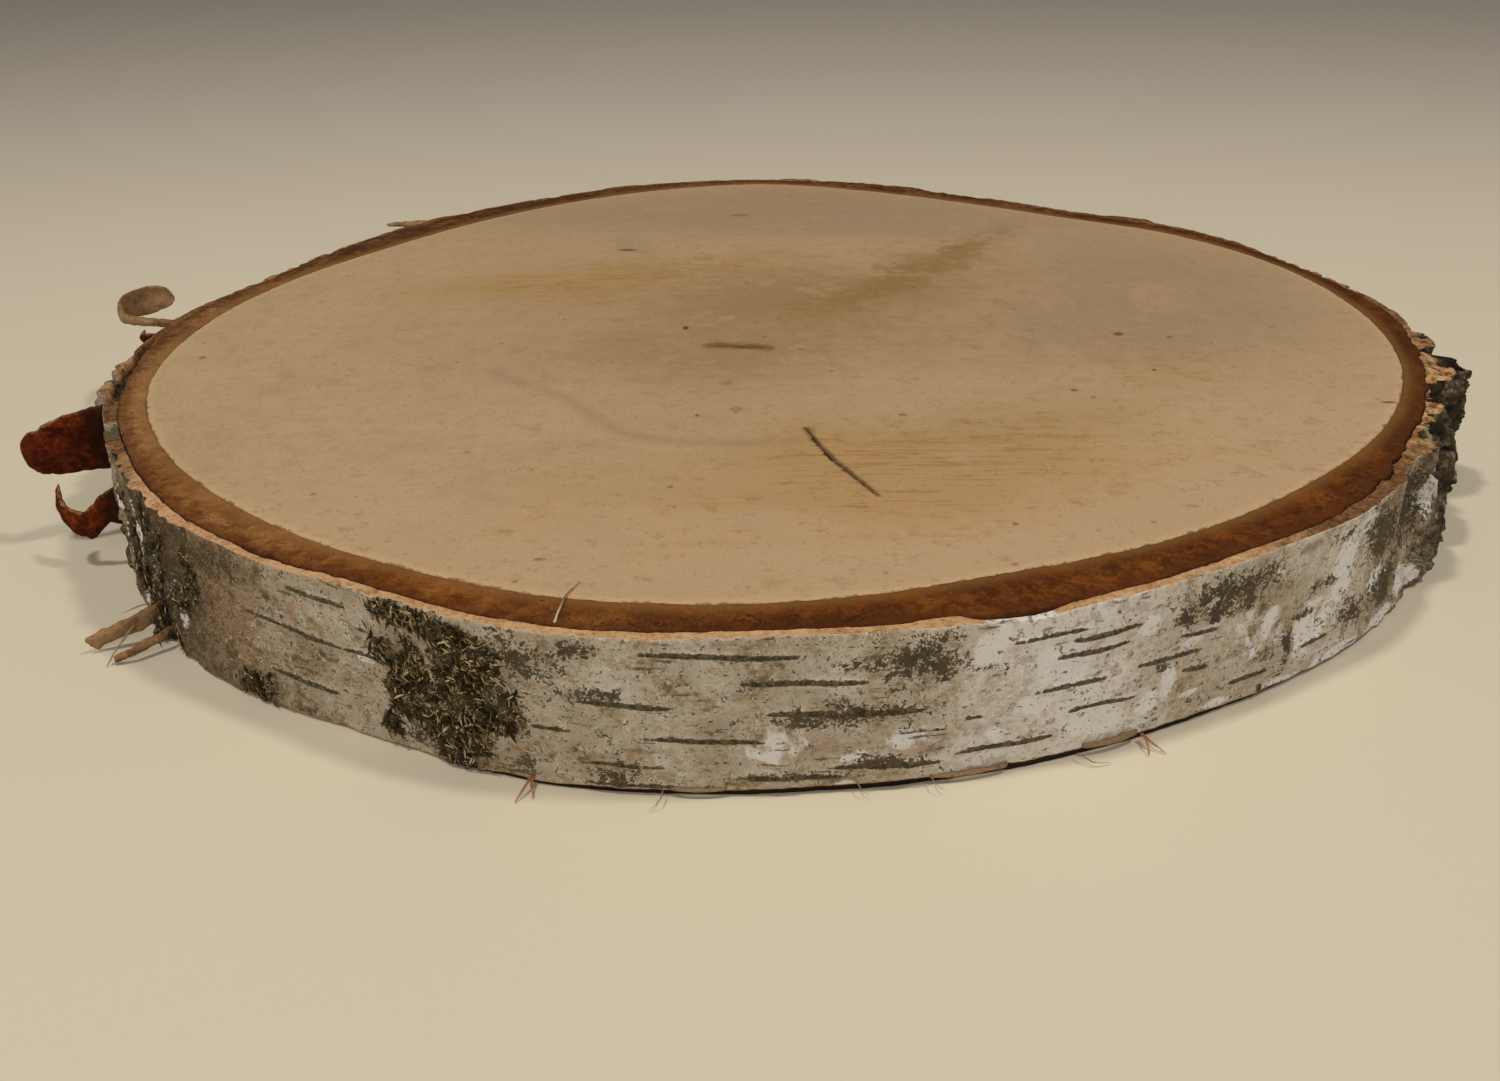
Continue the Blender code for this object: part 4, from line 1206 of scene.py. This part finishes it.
def make_peel(name, stations, thick, ragged, pale_right, pale_left, paint, seed):
    """A thin upright sheet with torn edges. Its right side is the one on the right of its path."""
    length = np.hypot(*np.diff(np.array(stations)[:, :2], axis=0).T).sum()
    count = int(length / 0.45) + 4
    levels = 18
    line = along_curve(stations, count)
    along = np.gradient(line[:, :2], axis=0)
    along /= np.hypot(*along.T)[:, None]
    side = np.stack([along[:, 1], -along[:, 0]], -1)
    up = np.linspace(0, 1, levels)
    path = line[:, :3]
    low = line[:, 2] + ragged * cloud(path, 3.0, seed, 4)
    high = line[:, 3] - ragged * np.abs(cloud(path, 3.2, seed + 5, 4))
    z = low[:, None] + (high - low)[:, None] * up
    middle = np.broadcast_to(line[:, None, :2], (count, levels, 2))
    place = np.concatenate([middle, z[..., None]], -1)
    end = np.linspace(0, 1, count)[:, None]
    torn = 2.2 * ragged * step(end, 0.75, 1.0) * cloud(place * (0, 0, 1) + seed, 2.4, seed + 9, 4)
    free = step(end, 0.0, 0.25)
    bend = free * (0.8 * cloud(place, 7.0, seed + 11, 3) + 0.5 * (2 * up - 1) ** 2)
    middle = middle + along[:, None] * torn[..., None] + side[:, None] * bend[..., None]
    slim = thick / 2 * (0.35 + 0.65 * (1 - (2 * up - 1) ** 6)) * (1 - 0.6 * step(end, 0.9, 1.0))
    parts, sides, tops = [], [], []
    for sign in (1, -1):
        rough = 0.22 * cloud(place, 1.6, seed + 20 + sign, 3)
        sheet = middle + side[:, None] * (sign * slim + rough)[..., None]
        part = np.concatenate([sheet, z[..., None]], -1)
        parts.append(part if sign > 0 else part[:, ::-1])
        sides.append(np.full((count, levels), pale_right if sign > 0 else pale_left))
        rise_up = np.broadcast_to(up * (high - low)[:, None] - (high - low)[:, None], (count, levels))
        tops.append(rise_up if sign > 0 else rise_up[:, ::-1])
    points = np.concatenate(parts, 1)
    total = 2 * levels
    faces = quads(count, total, False, True)
    for row in (0, count - 1):
        first = row * total
        last = first + total - 1
        faces += [[first + k, first + k + 1, last - 1 - k, last - k] for k in range(levels - 1)]
    values = {
        "pale": np.concatenate(sides, 1), "brim": np.concatenate(tops, 1),
        "end": np.broadcast_to(end, (count, total)),
    }
    build(name, points, faces, paint, values)


def peel_paint():
    p = Paint("peeling_bark")
    mottle = p.noise(3.0, 5, 0.65, distort=0.6)
    grain = p.noise(0.8, 4, 0.7)
    streak = p.noise(0.8, 3, 0.6, stretch=(1, 1, 0.25))
    tone = p.sum(0.5, (mottle, 1.0), (grain, 0.6))
    red = p.ramp(
        tone, (0.2, (0.010, 0.0014, 0.0002)), (0.42, (0.055, 0.0065, 0.0006)), (0.60, (0.135, 0.020, 0.002)),
        (0.85, (0.30, 0.075, 0.014)),
    )
    tan = p.ramp(tone, (0.1, (0.12, 0.062, 0.026)), (0.45, (0.32, 0.185, 0.088)), (0.75, (0.47, 0.30, 0.16)))
    ash = p.ramp(tone, (0.1, (0.10, 0.072, 0.036)), (0.5, (0.235, 0.175, 0.105)), (0.8, (0.42, 0.345, 0.235)))
    p.colour = p.mix(p.rise(0.2, 0.5, "pale", (mottle, 0.5)), red, tan)
    p.coat(ash, 0.62, 0.95, "pale", (mottle, 0.6), most=0.7)
    brim = p.mix(p.rise(0.35, 0.65, grain), (0.12, 0.045, 0.015), (0.38, 0.21, 0.095))
    p.coat(brim, -0.45, -0.05, "brim", (grain, 1.2), most=0.7)
    # Painted shade: near-black at each sheet's root, where it leaves the wall
    p.coat((0.020, 0.006, 0.002), 0.46, 0.12, "end", ("pale", 0.35), (mottle, 0.3), most=0.85)
    return p.finish(p.sum(0.8, (grain, 0.2)), ((mottle, 0.4), (streak, 0.1), (grain, 0.25)), 0.12)


# Threads, splinters, tufts and shreds that hang from the slice: name, points, thickness at the root
STRANDS = (
    ("thread", ((-37.4, -141.6, 28.4), (-37.1, -140.6, 30.1), (-36.6, -137.4, 30.5), (-36.2, -134.0, 30.4),
                (-34.6, -129.8, 30.2)), 0.5),
    ("splinter", ((-5.4, -146.4, 28.6), (-5.4, -146.9, 30.0), (-5.0, -147.2, 30.6)), 0.8),
    ("tuft_left", ((-43.0, -141.6, 1.6), (-43.7, -144.4, 1.5), (-45.2, -147.4, 0.3)), 0.7),
    ("tuft_left_short", ((-42.8, -141.6, 1.5), (-42.9, -144.4, 1.3), (-42.4, -146.4, 0.2)), 0.5),
    ("tuft_right", ((57.6, -133.6, 1.5), (58.6, -135.6, 1.4), (60.6, -137.4, 0.3)), 0.7),
    ("tuft_right_short", ((57.4, -133.6, 1.5), (57.8, -135.8, 1.5), (57.6, -138.0, 0.3)), 0.6),
    ("fibre_middle", ((9.0, -144.8, 1.8), (9.5, -146.6, 1.7), (10.6, -147.8, 0.9)), 0.28),
    ("fibre_right", ((20.9, -144.4, 1.8), (21.4, -146.2, 1.8), (22.8, -147.0, 1.2)), 0.28),
    ("fibre_left", ((-21.8, -146.8, 1.8), (-22.3, -149.0, 1.5), (-23.8, -149.8, 0.5)), 0.28),
    ("fibre_long", ((45.6, -138.6, 1.6), (48.0, -140.2, 1.0), (51.0, -139.6, 0.4)), 0.34),
    ("shred_foot", ((-120.6, -93.4, 5.0), (-124.0, -98.4, 4.4), (-126.0, -103.4, 2.6), (-127.2, -108.0, 0.4)),
     0.8),
    ("shred_short", ((-119.8, -94.6, 7.0), (-123.6, -97.6, 7.2), (-126.6, -99.0, 6.4)), 0.5),
)
# Shreds of the paper's foot, lifted off it: first and last angle, height, how far out, tallness
SHREDS = ((278.2, 283.4, 1.5, 0.6, 0.5), (288.8, 293.0, 2.0, 0.7, 0.7), (262.0, 265.4, 1.6, 0.5, 0.4))


def make_strand(name, points, thick, paint, seed):
    """A thin round thread through points, tapering to its tip."""
    line = along_curve(points, 6 * len(points))
    line[:, :2] += 0.12 * cloud(line, 1.2, seed, 2)[:, None]
    ahead = np.gradient(line, axis=0)
    ahead /= np.linalg.norm(ahead, axis=1)[:, None]
    side = np.cross(ahead, (0.3, 0.1, 1.0))
    side /= np.linalg.norm(side, axis=1)[:, None]
    other = np.cross(ahead, side)
    turned = np.radians(np.arange(6) * 60)
    share = np.linspace(0, 1, len(line))
    wide = thick / 2 * (1 - 0.8 * share**1.5) * (1 + 0.25 * cloud(line, 0.9, seed + 3, 2))
    spokes = np.cos(turned)[:, None, None] * side + np.sin(turned)[:, None, None] * 0.6 * other
    round_points = line + spokes * wide[:, None]
    round_points[..., 2] = np.maximum(round_points[..., 2], 0.02)
    values = {"share": np.broadcast_to(share, (6, len(line)))}
    build(name, round_points, capped_tube(6, len(line)), paint, values)


def capped_tube(around_it, along_it):
    """Faces of a closed tube whose points lie around_it by along_it."""
    index = np.arange(around_it * along_it).reshape(around_it, along_it)
    return quads(around_it, along_it, True, False) + [index[:, 0].tolist(), index[::-1, -1].tolist()]


def make_shred(name, first, last, z, out, tall, paint, seed):
    """A torn shred of paper that leans away from the bark's foot."""
    angles = np.linspace(first, last, 28)
    up = np.linspace(0, 1, 5)[:, None]
    angle = np.broadcast_to(angles, (5, len(angles)))
    lean = out * np.sin(np.pi * np.linspace(0, 1, len(angles))) ** 0.6
    base = rim(angles) + around(FLARE, angles) * (1 - z / THICK) ** 2
    jag = 0.5 * tall * cloud(at(angles, base, z + 0 * angles), 1.6, seed, 3)
    height = z + (up - 0.5) * (tall + jag)
    radius = base + 0.1 + lean * (1 - 0.5 * up)
    sheets = [at(angle, radius + 0.18, height), at(angle, radius - 0.18, height)[::-1]]
    points = np.concatenate(sheets)
    values = {"share": np.broadcast_to(0.3, points.shape[:2])}
    build(name, points, capped_tube(10, len(angles)), paint, values)


def strand_paint(name, root, tip):
    p = Paint(name)
    mottle = p.noise(2.4, 4, 0.6)
    grain = p.noise(0.5, 3, 0.65)
    p.colour = p.mix(p.rise(0.2, 0.8, "share", (mottle, 0.5)), root, tip)
    p.coat([0.35 * part for part in root], 0.5, 0.66, grain, (mottle, 0.6), most=0.6)
    return p.finish(p.sum(0.75, (grain, 0.2)), ((mottle, 0.2), (grain, 0.1)), 0.2)


def make_small_things():
    pale = strand_paint("pale_fibre", (0.60, 0.47, 0.32), (0.20, 0.105, 0.045))
    orange = strand_paint("orange_fibre", (0.42, 0.155, 0.055), (0.48, 0.225, 0.105))
    brown = strand_paint("brown_shred", (0.30, 0.195, 0.105), (0.40, 0.30, 0.18))
    paints = {"thread": pale, "splinter": pale, "tuft": orange, "fibre": brown, "shred": brown}
    for number, (name, points, thick) in enumerate(STRANDS):
        make_strand(name, points, thick, paints[name.split("_")[0]], 700 + 10 * number)
    for number, (first, last, z, out, tall) in enumerate(SHREDS):
        make_shred("foot_shred_%d" % (number + 1), first, last, z, out, tall, brown, 900 + 10 * number)


# The setting

FLOOR_HALF = 6000
CAMERA_PLACE = (-7.497, -300.537, 131.365)
CAMERA_TILT = 61.1455
CAMERA_ROLL = -0.7793
CAMERA_LENS = 30.0
# Name, place in metres, width in metres, power in watts, colour; each light points at the slice
LIGHTS = (
    ("left_light", (-0.33, -0.20, 1.06), 0.10, 4.1, (1.0, 0.93, 0.82)),
    ("right_light", (0.47, -0.13, 1.05), 0.12, 3.6, (1.0, 0.93, 0.82)),
    ("front_fill", (-0.3, -1.5, 0.9), 1.2, 7.4, (1.0, 0.93, 0.84)),
)
ROOM_COLOUR = (1.0, 0.93, 0.84)
ROOM_STRENGTH = 0.18


def make_floor():
    p = Paint("table_top")
    smudge = p.noise(260, 3, 0.5)
    fine = p.noise(3, 2, 0.5)
    tone = p.sum(0.5, (smudge, 0.5), (fine, 0.05))
    p.colour = p.ramp(tone, (0.2, (0.68, 0.62, 0.49)), (0.8, (0.73, 0.67, 0.54)))
    # Painted shade: the table darkens and greys from 5 cm to 70 cm behind the slice's middle
    back = p.node("ShaderNodeSeparateXYZ", {"Vector": p.place}).outputs["Y"]
    p.coat((0.635, 0.585, 0.52), 0.05, 0.7, back)
    corners = [(x * FLOOR_HALF, y * FLOOR_HALF, 0) for x, y in ((-1, -1), (1, -1), (1, 1), (-1, 1))]
    floor = plain_object("table_top", corners, [(0, 1, 2, 3)])
    floor.data.materials.append(p.finish(0.6, ((fine, 0.01),), 0.2))


def make_lights():
    for name, place, size, power, colour in LIGHTS:
        light = bpy.data.lights.new(name, "AREA")
        light.shape = "DISK"
        light.size = size
        light.energy = power
        light.color = colour
        made = link(name, light)
        made.location = Vector(place)
        made.rotation_euler = (-Vector(place)).to_track_quat("-Z", "Y").to_euler()
    world = bpy.data.worlds.new("soft_room")
    world.use_nodes = True
    background = world.node_tree.nodes["Background"]
    background.inputs["Color"].default_value = (*ROOM_COLOUR, 1)
    background.inputs["Strength"].default_value = ROOM_STRENGTH
    bpy.context.scene.world = world


def make_camera():
    camera = bpy.data.cameras.new("camera")
    camera.lens = CAMERA_LENS
    camera.sensor_width = 36.0
    camera.clip_start = 0.01
    made = link("camera", camera)
    tilt = Matrix.Rotation(math.radians(CAMERA_TILT), 4, "X")
    roll = Matrix.Rotation(math.radians(CAMERA_ROLL), 4, "Z")
    made.matrix_world = Matrix.Translation(Vector(CAMERA_PLACE) * MM) @ tilt @ roll
    bpy.context.scene.camera = made


def main():
    make_camera()
    make_lights()
    make_floor()
    make_wood(wood_paint())
    make_ring(ring_paint())
    make_bark(bark_paint())
    make_moss(moss_paint())
    peeling = peel_paint()
    for number, (name, stations, thick, ragged, pale_right, pale_left) in enumerate(PEELS):
        make_peel(name, stations, thick, ragged, pale_right, pale_left, peeling, 400 + 40 * number)
    make_small_things()
    bpy.context.scene.view_settings.view_transform = "Standard"
    bpy.context.scene.view_settings.look = "None"


main()
